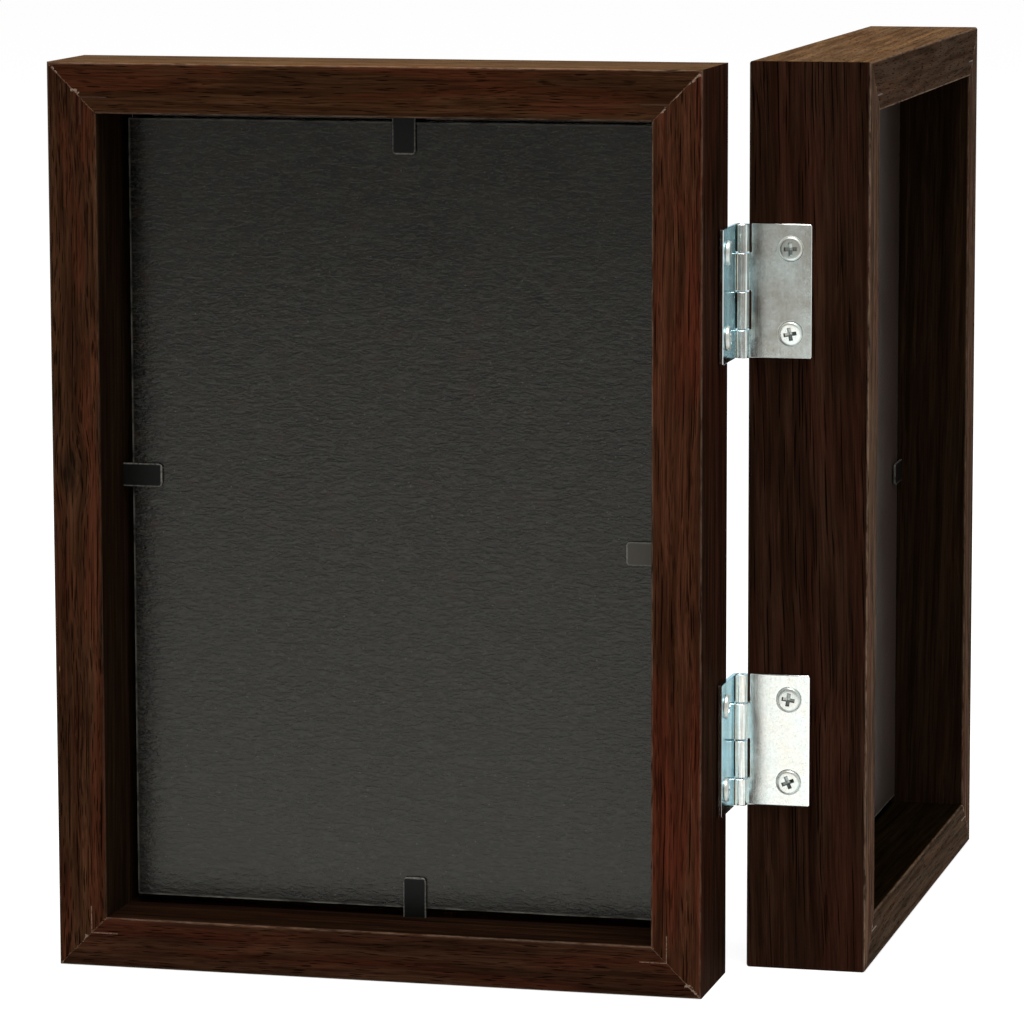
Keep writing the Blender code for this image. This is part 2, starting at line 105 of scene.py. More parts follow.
# What the finer moulding changes: closed mitres, and a back that leaves the nails proud of it
CLOSED_GLUE_LINE = 0.01 * MM
NAIL_PROUD = 0.05 * MM
ARC_STEPS = 5
MITRE_RINGS = (0.0, 0.12, 0.3, 0.55, 0.9, 1.5, 2.6, 5.0)
RING_STEP = 9 * MM

# Chips along a mitre: their size, the share of noise that chips, and their depth
CHIP_SIZE = 1.1 * MM
CHIP_THRESHOLD = 0.18
CHIP_DEPTH = 0.5 * MM

# Millimetres added to the distance from a mitre on faces whose seams stay clean
CLEAN_SEAM = 10.0

# Wood between one year ring and the next, in millimetres along, across and into a rail or a stile
RAIL_RINGS = (9.4, 9.0, 7.0)
STILE_RINGS = (160.0, 3.4, 5.5)

# How far the grain runs out of the line of a rail or stile, in degrees, by turns
GRAIN_TILTS = (-1.5, 1.2)

# How each kind of face took the stain and its painted light: tone scales its colour, and holds
# painted light on the top faces and painted shade on the side faces and in the recess; lustre is its
# gloss, and warm is the strength of its red patches
StainAndLight = namedtuple("StainAndLight", "tone lustre warm")
STAINS_AND_LIGHT = {
    "top": StainAndLight((1.55, 1.75, 1.2), 0.35, 0.15),
    "side": StainAndLight((0.64, 0.67, 0.78), 0.25, 0.7),
    "back": StainAndLight((1.0, 1.0, 1.0), 0.25, 1.0),
    "recess": StainAndLight((0.37, 0.48, 0.5), 0.03, 0.3),
}
# By node: the tone on the backs differs from piece to piece; the darker tone on the left hinge
# stile's side and in the recesses is painted shade, darkest in the right bottom rail's recess
STAINS_AND_LIGHT_BY_NODE = {
    "left_top_rail back": StainAndLight((0.88, 0.88, 0.82), 0.25, 1.2),
    "left_bottom_rail back": StainAndLight((0.86, 0.86, 0.92), 0.25, 1.4),
    "left_hinge_stile back": StainAndLight((1.16, 0.99, 1.0), 0.25, 1.5),
    "right_top_rail back": StainAndLight((0.6, 0.6, 0.55), 0.28, 0.3),
    "right_bottom_rail back": StainAndLight((0.6, 0.64, 0.55), 0.3, 0.3),
    "right_hinge_stile back": StainAndLight((1.0, 1.0, 1.0), 0.5, 1.0),
    "right_outer_stile back": StainAndLight((0.85, 0.85, 0.8), 0.36, 1.0),
    "left_hinge_stile side": StainAndLight((0.5, 0.5, 0.6), 0.12, 1.0),
    "left_top_rail recess": StainAndLight((0.26, 0.28, 0.3), 0.03, 0.3),
    "left_bottom_rail recess": StainAndLight((0.26, 0.28, 0.3), 0.03, 0.3),
    "right_bottom_rail recess": StainAndLight((0.1, 0.14, 0.1), 0.0, 0.3),
}

# How worn the back arrises are beside the opening and along the outside, where that isn't 1; the
# same values paint a highlight along those arrises
INNER_WEAR_AND_HIGHLIGHT = {
    "left_outer_stile": 0.3,
    "left_top_rail": 1.6,
    "left_bottom_rail": 0.9,
    "left_hinge_stile": 1.8,
    "right_top_rail": 3.3,
}
OUTER_WEAR_AND_HIGHLIGHT = {"right_hinge_stile": 2.2}

# How far the back of a stile is turned from plain-sawn (0) to quarter-sawn (1) wood
USUAL_BACK_CUT = 0.5
BACK_CUTS = {"left_hinge_stile": 0.75}

# A knot in the left frame's outer stile: its place from the outer edge and the foot, and its reach
KNOT_INSET = 3.3 * MM
KNOT_RISE = 96.3 * MM
KNOT_WIDTH = 2.3 * MM
KNOT_HEIGHT = 4.4 * MM

# Edges whose faces meet at more than this angle stay sharp
SOFT_ANGLE = math.radians(38)
WELD = 0.001 * MM

SIDES = ("left", "right")
CORNERS = ("top_hinge", "top_outer", "bottom_hinge", "bottom_outer")
HINGES = ("upper_hinge", "lower_hinge")
LEAVES = ("left_leaf", "right_leaf")

X = Vector((1, 0, 0))
Y = Vector((0, 1, 0))
Z = Vector((0, 0, 1))

RailSpec = namedtuple("RailSpec", "origin along inward")


# Materials

def srgb(red, green, blue):
    """A colour given as 0 to 255 display values, in the linear values that a shader takes."""
    def linear(value):
        share = value / 255
        return share / 12.92 if share <= 0.04045 else ((share + 0.055) / 1.055) ** 2.4
    return (linear(red), linear(green), linear(blue), 1.0)


WOOD_DARK = srgb(54, 33, 20)
WOOD_LIGHT = srgb(77, 50, 33)
WOOD_RED = srgb(84, 41, 26)
WOOD_FIBRE = srgb(34, 17, 10)
WOOD_PORE = srgb(12, 6, 3)
WOOD_KNOT = srgb(24, 19, 13)
WOOD_WORN_AND_HIGHLIGHT = srgb(150, 126, 106)
WOOD_SCRATCH = srgb(150, 124, 100)
WOOD_SEAM = srgb(114, 83, 65)
WOOD_CHIP = srgb(150, 130, 112)
BOARD_DARK = srgb(4, 4, 3)
BOARD_LIGHT = srgb(14, 14, 12)
BOARD_STRAND = srgb(38, 38, 34)
BOARD_STAIN = srgb(33, 23, 14)
BOARD_FLECK = srgb(52, 51, 46)
BOARD_LIT_FOOT = srgb(60, 59, 55)
BOARD_DUST_AND_SHEEN = srgb(66, 52, 46)
BOARD_SPECK = srgb(105, 104, 96)
BOARD_RIM_AND_HIGHLIGHT = srgb(134, 132, 122)
BLACKING_DARK = srgb(7, 7, 6)
BLACKING_LIGHT = srgb(15, 15, 13)
BLACKING_RUBBED = srgb(90, 86, 78)
BLACKING_WORN_AND_HIGHLIGHT = srgb(138, 136, 128)
ZINC_WARM = srgb(226, 224, 214)
ZINC_COOL = srgb(230, 240, 236)
ZINC_SPANGLE = srgb(190, 192, 182)
ZINC_GRIT = srgb(150, 152, 146)
ZINC_DRAWN = srgb(112, 104, 110)
ZINC_EDGE = srgb(246, 247, 245)
ZINC_RECESS_SHADE = srgb(96, 96, 90)
NAIL_STAINED = srgb(54, 32, 19)
NAIL_BARE = srgb(140, 108, 88)
GLASS_GREEN = (0.97, 0.99, 0.98, 1.0)
GLASS_CLEAR = (0.98, 0.995, 0.988, 1.0)
PAPER_DARK = srgb(228, 224, 214)
PAPER_LIGHT = srgb(234, 231, 223)
PAPER_FELT = srgb(212, 207, 196)


class Nodes:
    """Short calls that add nodes to a tree and give back their output."""

    def __init__(self, tree):
        self.tree = tree

    def node(self, kind, inputs, **settings):
        node = self.tree.nodes.new(kind)
        for setting, value in settings.items():
            setattr(node, setting, value)
        for socket, value in inputs.items():
            if isinstance(value, bpy.types.NodeSocket):
                self.tree.links.new(value, node.inputs[socket])
            else:
                node.inputs[socket].default_value = value
        return node

    def attribute(self, name, output="Fac"):
        return self.node("ShaderNodeAttribute", {}, attribute_name=name).outputs[output]

    def position(self):
        return self.node("ShaderNodeTexCoord", {}).outputs["Object"]

    def millimetres(self):
        """A point's place in the object, in millimetres."""
        return self.scaled(self.position(), (1000.0, 1000.0, 1000.0))

    def vector(self, **parts):
        """A vector of the given X, Y and Z; those left out are 0."""
        return self.node("ShaderNodeCombineXYZ", parts).outputs[0]

    def part(self, vector, axis):
        return self.node("ShaderNodeSeparateXYZ", {0: vector}).outputs[axis]

    def vector_math(self, operation, *values):
        inputs = dict(enumerate(values))
        return self.node("ShaderNodeVectorMath", inputs, operation=operation).outputs

    def length(self, vector):
        return self.vector_math("LENGTH", vector)["Value"]

    def scaled(self, vector, factors):
        return self.vector_math("MULTIPLY", vector, factors)[0]

    def moved(self, vector, offset):
        return self.vector_math("ADD", vector, offset)[0]

    def math(self, operation, first, second):
        return self.node("ShaderNodeMath", {0: first, 1: second}, operation=operation).outputs[0]

    def product(self, first, second):
        return self.math("MULTIPLY", first, second)

    def sum(self, first, second):
        return self.math("ADD", first, second)

    def larger(self, first, second):
        return self.math("MAXIMUM", first, second)

    def noise(self, vector, scale=1.0, detail=2.0, roughness=0.5, distortion=0.0):
        inputs = {"Vector": vector, "Scale": scale, "Detail": detail, "Roughness": roughness}
        inputs["Distortion"] = distortion
        return self.node("ShaderNodeTexNoise", inputs).outputs["Fac"]

    def streaks(self, vector, factors, **settings):
        """Noise stretched by its own factor along each axis."""
        return self.noise(self.scaled(vector, factors), **settings)

    def cells(self, vector, factors, offset=None):
        """Distance from the middle of the nearest of many scattered, stretched cells."""
        vector = self.scaled(vector, factors)
        if offset:
            vector = self.moved(vector, offset)
        inputs = {"Vector": vector, "Scale": 1.0}
        return self.node("ShaderNodeTexVoronoi", inputs).outputs["Distance"]

    def remap(self, value, low, high, to_low=0.0, to_high=1.0):
        sockets = ("Value", "From Min", "From Max", "To Min", "To Max")
        inputs = dict(zip(sockets, (value, low, high, to_low, to_high)))
        return self.node("ShaderNodeMapRange", inputs, clamp=True).outputs[0]

    def mix(self, share, first, second, blend="MIX"):
        inputs = {0: share, 6: first, 7: second}
        return self.node("ShaderNodeMix", inputs, data_type="RGBA", blend_type=blend).outputs[2]

    def layered(self, colour, *layers):
        """A colour with others laid over it in turn, given as (share, colour) pairs."""
        for share, laid in layers:
            colour = self.mix(share, colour, laid)
        return colour

    def mix_values(self, share, first, second):
        inputs = {0: share, 2: first, 3: second}
        return self.node("ShaderNodeMix", inputs, data_type="FLOAT").outputs[0]

    def bump(self, height, distance, strength):
        inputs = {"Height": height, "Distance": distance, "Strength": strength}
        return self.node("ShaderNodeBump", inputs).outputs[0]


class Graph(Nodes):
    """A material of one shader; its constants are set on the shader itself."""

    def __init__(self, name, **constants):
        self.material = bpy.data.materials.new(f"{name}_finish")
        self.material["slot"] = name
        self.material.use_nodes = True
        super().__init__(self.material.node_tree)
        self.shader = self.tree.nodes["Principled BSDF"]
        for socket, value in constants.items():
            self.shader.inputs[socket.replace("_", " ")].default_value = value

    def finish(self, **links):
        for socket, value in links.items():
            self.tree.links.new(value, self.shader.inputs[socket.replace("_", " ")])
        return self.material


def from_knot(graph):
    """Where a point is from the middle of the knot, in units of the knot's own size."""
    low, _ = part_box("left_outer_stile")
    middle = Vector((low.x + KNOT_INSET, 0.0, low.z + KNOT_RISE))
    place = graph.moved(graph.position(), -middle)
    return graph.scaled(place, (1 / KNOT_WIDTH, 0.0, 1 / KNOT_HEIGHT))


def wood_grain(graph):
    """Grain space in millimetres, bowed round the knot; how it drifts; and how far the knot is."""
    grain = graph.attribute("grain", "Vector")
    drift = graph.streaks(grain, (0.025, 0.12, 0.12))
    grain = graph.moved(grain, graph.scaled(graph.vector(Y=drift, Z=drift), (0.0, 2.2, 2.2)))
    knot_place = from_knot(graph)
    knot_distance = graph.length(knot_place)
    across = graph.part(knot_place, "X")
    bow = graph.product(across, graph.remap(knot_distance, 0.2, 2.4, -1.6, 0.0))
    return graph.moved(grain, graph.vector(Y=bow)), drift, knot_distance


def wood_pores(graph, grain, drift, lustre):
    """Short pores in the early wood of plain-sawn faces, and long grooves in quarter-sawn ones."""
    ring = graph.sum(graph.attribute("ring"), graph.remap(drift, 0.3, 0.7, 0.0, 0.6))
    early = graph.remap(graph.math("PINGPONG", ring, 0.5), 0.14, 0.32, 0.9, 0.42)
    short = graph.cells(grain, (0.2, 3.1, 3.1))
    short = graph.product(graph.remap(short, 0.26, 0.35, 1.0, 0.0), early)
    long = graph.cells(grain, (0.011, 1.4, 1.4))
    groove = graph.cells(grain, (0.022, 2.1, 2.1), offset=(7.0, 3.0, 5.0))
    long = graph.larger(
        graph.remap(long, 0.15, 0.21, 1.0, 0.0),
        graph.remap(groove, 0.18, 0.28, 0.9, 0.0),
    )
    quartered = graph.attribute("quartered")
    short = graph.product(short, graph.remap(quartered, 0.5, 1.0, 1.0, 0.15))
    long = graph.product(long, graph.remap(quartered, 0.0, 0.5, 0.0, 1.0))
    filled = graph.remap(lustre, 0.05, 0.1, 0.35, 1.0)
    return graph.product(graph.larger(short, long), filled)


def wood_damage(graph, grain, colour):
    """The colour with rubbed arrises that also carry a painted highlight, a few scratches, and pale
    wood where the mitres chipped.
    """
    scuff = graph.streaks(grain, (0.25, 1.5, 1.5), detail=3.0, roughness=0.7)
    worn_and_lit = graph.product(graph.attribute("wear_and_highlight"), graph.remap(scuff, 0.36, 0.6, 0.1, 1.0))
    scratch = graph.remap(graph.cells(grain, (0.03, 0.25, 0.25)), 0.022, 0.015)
    scratch = graph.product(scratch, graph.math("GREATER_THAN", graph.attribute("tone"), 0.9))
    crumbs = graph.streaks(grain, (1.6, 1.6, 1.6), detail=3.0, roughness=0.75)
    mitre = graph.attribute("mitre")
    seam = graph.math("LESS_THAN", mitre, graph.remap(crumbs, 0.36, 0.62, 0.0, 0.16))
    clump = graph.streaks(grain, (0.33, 0.33, 0.33), detail=1.0)
    clump = graph.remap(clump, 0.56, 0.7, 0.0, 0.75)
    reach = graph.product(clump, graph.remap(crumbs, 0.44, 0.62))
    chipped = graph.math("LESS_THAN", mitre, reach)
    return graph.layered(
        colour,
        # Rubbed arrises, lightened further by a painted highlight
        (graph.product(worn_and_lit, 0.3), WOOD_WORN_AND_HIGHLIGHT),
        (graph.product(scratch, 0.7), WOOD_SCRATCH),
        (graph.product(seam, 0.75), WOOD_SEAM),
        (graph.product(chipped, 0.85), WOOD_CHIP),
    )


def stained_wood():
    """Dark stain on open-pored wood: fibres and pores run along each length of moulding.

    The stained fibres have a warm lustre at low angles, so part of the gloss takes their tint.
    """
    graph = Graph("stained_wood", Specular_Tint=(0.88, 0.79, 0.68, 1.0), Specular_IOR_Level=0.0)
    grain, drift, knot_distance = wood_grain(graph)
    lustre = graph.attribute("lustre")
    pore = wood_pores(graph, grain, drift, lustre)
    fibre = graph.streaks(grain, (0.06, 3.0, 3.0), detail=4.0, roughness=0.7)
    streak = graph.streaks(grain, (0.03, 0.9, 0.9))
    patch = graph.streaks(grain, (0.025, 0.2, 0.2))
    band = graph.streaks(grain, (0.007, 0.34, 0.34), roughness=0.6)
    red = graph.product(graph.remap(patch, 0.46, 0.6, 0.0, 0.5), graph.attribute("warm"))
    colour = graph.layered(
        graph.mix(graph.remap(streak, 0.35, 0.65), WOOD_DARK, WOOD_LIGHT),
        (red, WOOD_RED),
        (graph.remap(fibre, 0.62, 0.38, 0.0, 0.7), WOOD_FIBRE),
        (graph.product(pore, 0.9), WOOD_PORE),
    )
    level = graph.remap(band, 0.36, 0.64, 0.78, 1.3)
    colour = graph.mix(1.0, colour, graph.vector(X=level, Y=level, Z=level), "MULTIPLY")
    # The tone scales the colour: painted light on the top faces, painted shade on the side faces and
    # in the recess, and real differences in tone on the backs
    colour = graph.mix(1.0, colour, graph.attribute("tone", "Vector"), "MULTIPLY")
    knot = graph.remap(knot_distance, 0.25, 1.25, 0.9, 0.0)
    knot = graph.product(knot, graph.remap(fibre, 0.3, 0.6, 1.0, 0.6))
    colour = wood_damage(graph, grain, graph.mix(knot, colour, WOOD_KNOT))
    shine = graph.product(lustre, graph.remap(streak, 0.35, 0.65, 0.6, 1.3))
    return graph.finish(
        Base_Color=colour,
        Metallic=graph.product(shine, graph.remap(pore, 0.0, 1.0, 1.0, 0.3)),
        Roughness=graph.remap(fibre, 0.3, 0.7, 0.5, 0.66),
        Normal=graph.bump(graph.math("SUBTRACT", graph.product(fibre, 0.35), pore), 0.1 * MM, 0.8),
    )


def backing_fibreboard():
    """Charcoal paper on pressed board: a fine crinkle, olive and brown clouds, pale cut edges with a
    painted highlight, and painted light that lightens it towards the foot.

    The crinkle is pressed flatter near the top and the foot of the board.
    """
    graph = Graph("backing_fibreboard", Specular_IOR_Level=0.41, Specular_Tint=(1.0, 0.98, 0.9, 1.0))
    place = graph.millimetres()
    pebble = graph.streaks(place, (0.9, 0.9, 1.9), detail=3.0, roughness=0.6, distortion=0.6)
    strand = graph.streaks(place, (0.32, 0.32, 1.05), detail=3.0, roughness=0.65, distortion=0.8)
    cloud = graph.streaks(place, (0.05, 0.05, 0.07), detail=4.0, roughness=0.6)
    stain = graph.streaks(place, (0.22, 0.22, 0.3), detail=3.0)
    specks = graph.cells(place, (0.42, 0.42, 0.6))
    rise = graph.part(place, "Z")
    dust = graph.attribute("dust")
    # The rim is the pale cut edge with a painted highlight on it
    rim = graph.product(graph.attribute("rim"), graph.remap(stain, 0.38, 0.56, 0.25, 1.0))
    colour = graph.layered(
        graph.mix(graph.remap(cloud, 0.38, 0.62), BOARD_DARK, BOARD_LIGHT),
        (graph.remap(strand, 0.5, 0.62, 0.0, 0.8), BOARD_STRAND),
        (graph.remap(stain, 0.5, 0.66, 0.0, 0.7), BOARD_STAIN),
        (graph.remap(pebble, 0.54, 0.64, 0.0, 0.5), BOARD_FLECK),
        # Painted light: the board is mixed lighter towards its foot
        (graph.remap(rise, 20.0, 140.0, 0.22, 0.0), BOARD_LIT_FOOT),
        # Dust on the right board, whose warm colour is also a painted reflection
        (graph.product(dust, 0.55), BOARD_DUST_AND_SHEEN),
        (graph.remap(specks, 0.08, 0.04, 0.0, 0.5), BOARD_SPECK),
        (rim, BOARD_RIM_AND_HIGHLIGHT),
    )
    crinkle = graph.sum(graph.product(pebble, 0.6), graph.product(strand, 0.9))
    pressed = graph.larger(
        graph.remap(rise, 100.0, 145.0, 0.0, 0.6),
        graph.remap(rise, 45.0, 10.0, 0.0, 0.4),
    )
    crinkle = graph.product(crinkle, graph.math("SUBTRACT", 1.0, pressed))
    gloss = graph.remap(cloud, 0.3, 0.7, 0.19, 0.25)
    return graph.finish(
        Base_Color=colour,
        Roughness=graph.sum(gloss, graph.product(dust, 0.1)),
        Normal=graph.bump(crinkle, 0.14 * MM, 0.85),
    )


def black_spring_steel():
    """Blackened strip steel, rubbed through to bare metal along its edges, which also carry a
    painted highlight.
    """
    graph = Graph("black_spring_steel", Metallic=0.0, Specular_IOR_Level=0.16)
    scuff = graph.noise(graph.millimetres(), scale=1.6, detail=4.0, roughness=0.7)
    worn_and_lit = graph.product(graph.attribute("rim"), graph.remap(scuff, 0.38, 0.6, 0.3, 1.0))
    colour = graph.layered(
        graph.mix(graph.remap(scuff, 0.4, 0.7), BLACKING_DARK, BLACKING_LIGHT),
        (graph.product(graph.attribute("rubbed"), 0.85), BLACKING_RUBBED),
        (worn_and_lit, BLACKING_WORN_AND_HIGHLIGHT),
    )
    return graph.finish(
        Base_Color=colour,
        Roughness=graph.remap(scuff, 0.3, 0.7, 0.34, 0.5),
        Normal=graph.bump(scuff, 0.03 * MM, 0.5),
    )


def bright_zinc(name, roughness_low, roughness_high):
    """Blue-bright zinc plating: a soft mirror with a cool edge tint and cloudy gloss."""
    graph = Graph(name, Specular_Tint=(0.54, 0.8, 0.96, 1.0))
    place = graph.millimetres()
    cloud = graph.noise(place, scale=0.16, detail=3.0, roughness=0.6)
    spangle = graph.noise(place, scale=1.3, detail=4.0, roughness=0.7)
    rolled = graph.streaks(place, (3.5, 3.5, 0.12), detail=3.0, roughness=0.6)
    grit = graph.noise(place, scale=4.0, detail=3.0, roughness=0.6)
    drawn = graph.product(graph.attribute("knuckle"), graph.remap(rolled, 0.4, 0.58, 0.0, 0.4))
    edge = graph.attribute("edge")
    burr = graph.attribute("burr")
    colour = graph.layered(
        graph.mix(graph.remap(cloud, 0.35, 0.65), ZINC_WARM, ZINC_COOL),
        (graph.remap(spangle, 0.35, 0.7, 0.0, 0.4), ZINC_SPANGLE),
        (graph.remap(grit, 0.55, 0.75, 0.0, 0.5), ZINC_GRIT),
        (drawn, ZINC_DRAWN),
        (edge, ZINC_EDGE),
        # Painted shade down in the driver's recess
        (graph.product(graph.attribute("recess_shade"), 0.6), ZINC_RECESS_SHADE),
    )
    gloss = graph.sum(graph.product(cloud, 0.7), graph.product(rolled, 0.3))
    gloss = graph.remap(gloss, 0.35, 0.65, roughness_low, roughness_high)
    gloss = graph.mix_values(edge, gloss, 0.2)
    height = graph.sum(graph.product(rolled, 0.15), graph.product(grit, 0.6))
    return graph.finish(
        Base_Color=colour,
        Metallic=graph.remap(burr, 0.0, 1.0, 1.0, 0.55),
        Roughness=graph.mix_values(burr, gloss, 0.36),
        Normal=graph.bump(height, 0.006 * MM, 0.6),
    )


def nail_steel():
    """Dull strip steel of the corner nails, with dust and dried glue along it."""
    graph = Graph("nail_steel", Metallic=0.0, Specular_IOR_Level=0.08)
    crust = graph.noise(graph.millimetres(), scale=1.7, detail=4.0, roughness=0.7)
    bare = graph.product(graph.attribute("bare"), graph.remap(crust, 0.36, 0.52))
    bare = graph.product(bare, graph.remap(graph.attribute("edge"), 0.0, 1.0, 1.0, 0.1))
    return graph.finish(
        Base_Color=graph.mix(bare, NAIL_STAINED, NAIL_BARE),
        Roughness=graph.remap(crust, 0.3, 0.7, 0.4, 0.6),
        Normal=graph.bump(crust, 0.05 * MM, 0.6),
    )


def clear_glass():
    """Float glass with a faint green body and a trace of dust."""
    graph = Graph("clear_glass", Transmission_Weight=1.0, IOR=1.46)
    dust = graph.noise(graph.millimetres(), scale=1.3, detail=5.0, roughness=0.75)
    return graph.finish(
        Base_Color=graph.mix(graph.remap(dust, 0.4, 0.6), GLASS_GREEN, GLASS_CLEAR),
        Roughness=graph.remap(dust, 0.62, 0.85, 0.0, 0.12),
    )


def blank_paper():
    """Smooth uncoated paper of the blank insert, with a faint felt mottle."""
    graph = Graph("blank_paper", Specular_IOR_Level=0.3)
    place = graph.millimetres()
    felt = graph.noise(place, scale=2.2, detail=4.0, roughness=0.6)
    cloud = graph.noise(place, scale=0.12)
    colour = graph.layered(
        graph.mix(graph.remap(cloud, 0.3, 0.7), PAPER_DARK, PAPER_LIGHT),
        (graph.remap(felt, 0.55, 0.75, 0.0, 0.3), PAPER_FELT),
    )
    return graph.finish(
        Base_Color=colour,
        Roughness=graph.remap(felt, 0.3, 0.7, 0.6, 0.75),
        Normal=graph.bump(felt, 0.03 * MM, 0.5),
    )


def make_materials():
    return {
        "stained_wood": stained_wood(),
        "backing_fibreboard": backing_fibreboard(),
        "black_spring_steel": black_spring_steel(),
        "zinc_plated_steel": bright_zinc("zinc_plated_steel", 0.09, 0.2),
        "pin_steel": bright_zinc("pin_steel", 0.25, 0.35),
        "screw_steel": bright_zinc("screw_steel", 0.16, 0.26),
        "nail_steel": nail_steel(),
        "clear_glass": clear_glass(),
        "blank_paper": blank_paper(),
    }


# Frame space: x from the hinge side to the outer side, y from the front to the back, z up

def frame_space(side):
    """The matrix that takes frame space onto the world for one frame."""
    low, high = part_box(f"{side}_hinge_stile")
    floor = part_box(f"{side}_bottom_rail")[0].z
    if side == "left":
        return Matrix(((-1, 0, 0, high.x), (0, -1, 0, high.y), (0, 0, 1, floor), (0, 0, 0, 1)))
    return Matrix(((0, 1, 0, low.x), (1, 0, 0, low.y), (0, 0, 1, floor), (0, 0, 0, 1)))


def local_box(side, node):
    """Lowest and highest corners of a node in frame space."""
    to_local = frame_space(side).inverted()
    ends = [to_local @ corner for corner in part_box(node)]
    low = Vector(min(pair) for pair in zip(*ends))
    high = Vector(max(pair) for pair in zip(*ends))
    return low, high


def place_mesh(mesh, matrix):
    """Moves a mesh, and keeps its faces pointing out where the matrix mirrors it."""
    mesh.transform(matrix)
    if matrix.determinant() < 0:
        mesh.flip_normals()


def link_object(name, data):
    item = bpy.data.objects.new(name, data)
    bpy.context.scene.collection.objects.link(item)
    return item


def add_piece(name, mesh, body, material, replaced):
    """Links a mesh as a piece that wears its material's slot and stands for its nodes.

    It rides on the body, if one is given.
    """
    mesh.materials.clear()
    mesh.materials.append(material)
    mesh.shade_smooth()
    mesh.set_sharp_from_angle(angle=SOFT_ANGLE)
    piece = link_object(name, mesh)
    even = piece.modifiers.new("even_shading", "WEIGHTED_NORMAL")
    even.keep_sharp = True
    if body:
        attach(piece, body)
    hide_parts(*replaced)
    return piece


def mesh_from(name, bm, attributes=()):
    """Turns a bmesh into a mesh whose faces point out.

    The attributes are given as (name, kind, values by vertex).
    """
    bmesh.ops.recalc_face_normals(bm, faces=bm.faces)
    mesh = bpy.data.meshes.new(name)
    bm.to_mesh(mesh)
    bm.free()
    for attribute_name, kind, values in attributes:
        attribute = mesh.attributes.new(attribute_name, kind, "POINT")
        field = "vector" if kind == "FLOAT_VECTOR" else "value"
        flat = [part for value in values for part in value] if field == "vector" else values
        attribute.data.foreach_set(field, flat)
    return mesh


# Rails

def rounded_outline(corners):
    """Points and wear of a right-angled outline whose corners are (x, y, radius); the wear peaks
    narrowly in each arc and also carries a painted highlight.
    """
    points = []
    count = len(corners)
    for index, (x, y, radius) in enumerate(corners):
        corner = Vector((x, y))
        if not radius:
            points.append((corner, 0.0))
            continue
        before = (Vector(corners[index - 1][:2]) - corner).normalized()
        after = (Vector(corners[(index + 1) % count][:2]) - corner).normalized()
        centre = corner + (before + after) * radius
        for step in range(ARC_STEPS + 1):
            angle = math.pi / 2 * step / ARC_STEPS
            point = centre - (after * math.cos(angle) + before * math.sin(angle)) * radius
            points.append((point, math.sin(2 * angle) ** 3))
    return points


def moulding_outline(depth):
    """Section of the moulding as (inset from the outer side, depth from the front) points."""
    opening = WALL + LIP_REACH
    depth -= NAIL_PROUD
    return rounded_outline((
        (0.0, 0.0, EDGE_ROUND),
        (opening, 0.0, LIP_ROUND),
        (opening, LIP_THICKNESS, LIP_ROUND),
        (WALL, LIP_THICKNESS, 0.0),
        (WALL, depth, EDGE_ROUND),
        (0.0, depth, EDGE_ROUND),
    ))


def rail_specs(width, height):
    """Where each length of moulding starts in frame space, and which way it runs."""
    middle_x, middle_z = X * width / 2, Z * height / 2
    return {
        "top_rail": (RailSpec(middle_x + Z * height, X, -Z), width),
        "bottom_rail": (RailSpec(middle_x, X, Z), width),
        "hinge_stile": (RailSpec(middle_z, Z, X), height),
        "outer_stile": (RailSpec(middle_z + X * width, Z, -X), height),
    }


def end_distances(half_length):
    """Distances from a mitre at which a rail has a ring of points, close together near the mitre."""
    distances = [value * MM for value in MITRE_RINGS]
    start = distances[-1]
    steps = math.ceil((half_length - start) / RING_STEP)
    distances += [start + (half_length - start) * step / steps for step in range(1, steps + 1)]
    return distances


def chip(point, seed):
    """How far the arris has crumbled back from the mitre at a point."""
    value = noise.noise(point / CHIP_SIZE + Vector((seed, 0, 0)))
    return max(0.0, value - CHIP_THRESHOLD) * CHIP_DEPTH


def face_stain_and_light(node, inset, deep, depth):
    """The kind of face on which a point of the section lies, and how that face took the stain, with
    painted light on top faces and painted shade on side and recess faces.
    """
    kind = "back"
    on_wall = WALL - inset < EDGE_ROUND * 0.1
    if inset < EDGE_ROUND * 0.3:
        kind = "top" if node.endswith("rail") else "side"
    elif on_wall and LIP_THICKNESS * 0.99 < deep < depth - EDGE_ROUND * 0.5:
        kind = "recess"
    return kind, STAINS_AND_LIGHT_BY_NODE.get(f"{node} {kind}", STAINS_AND_LIGHT[kind])


def quarter_share(node, kind):
    """How quarter-sawn a face is, from 0 to 1."""
    if node.endswith("rail"):
        return 0.0
    return BACK_CUTS.get(node, USUAL_BACK_CUT) if kind == "back" else 1.0


def arris_wear_and_highlight(node, inset, deep, depth, worn_and_lit):
    """How worn a point of an arris is, with its painted highlight; the arrises at the back have
    their own wear and painted highlight on some nodes.
    """
    if deep <= depth / 2:
        return worn_and_lit
    wear_and_highlight_by_node = INNER_WEAR_AND_HIGHLIGHT if inset > WALL / 2 else OUTER_WEAR_AND_HIGHLIGHT
    return worn_and_lit * wear_and_highlight_by_node.get(node, 1.0)


def join_rings(bm, rings):
    """Skins a closed tube through rings of points, and caps its ends."""
    for first, second in zip(rings, rings[1:]):
        for index, vertex in enumerate(first):
            following = (index + 1) % len(first)
            bm.faces.new((vertex, first[following], second[following], second[index]))
    bm.faces.new(rings[0])
    bm.faces.new(rings[-1])


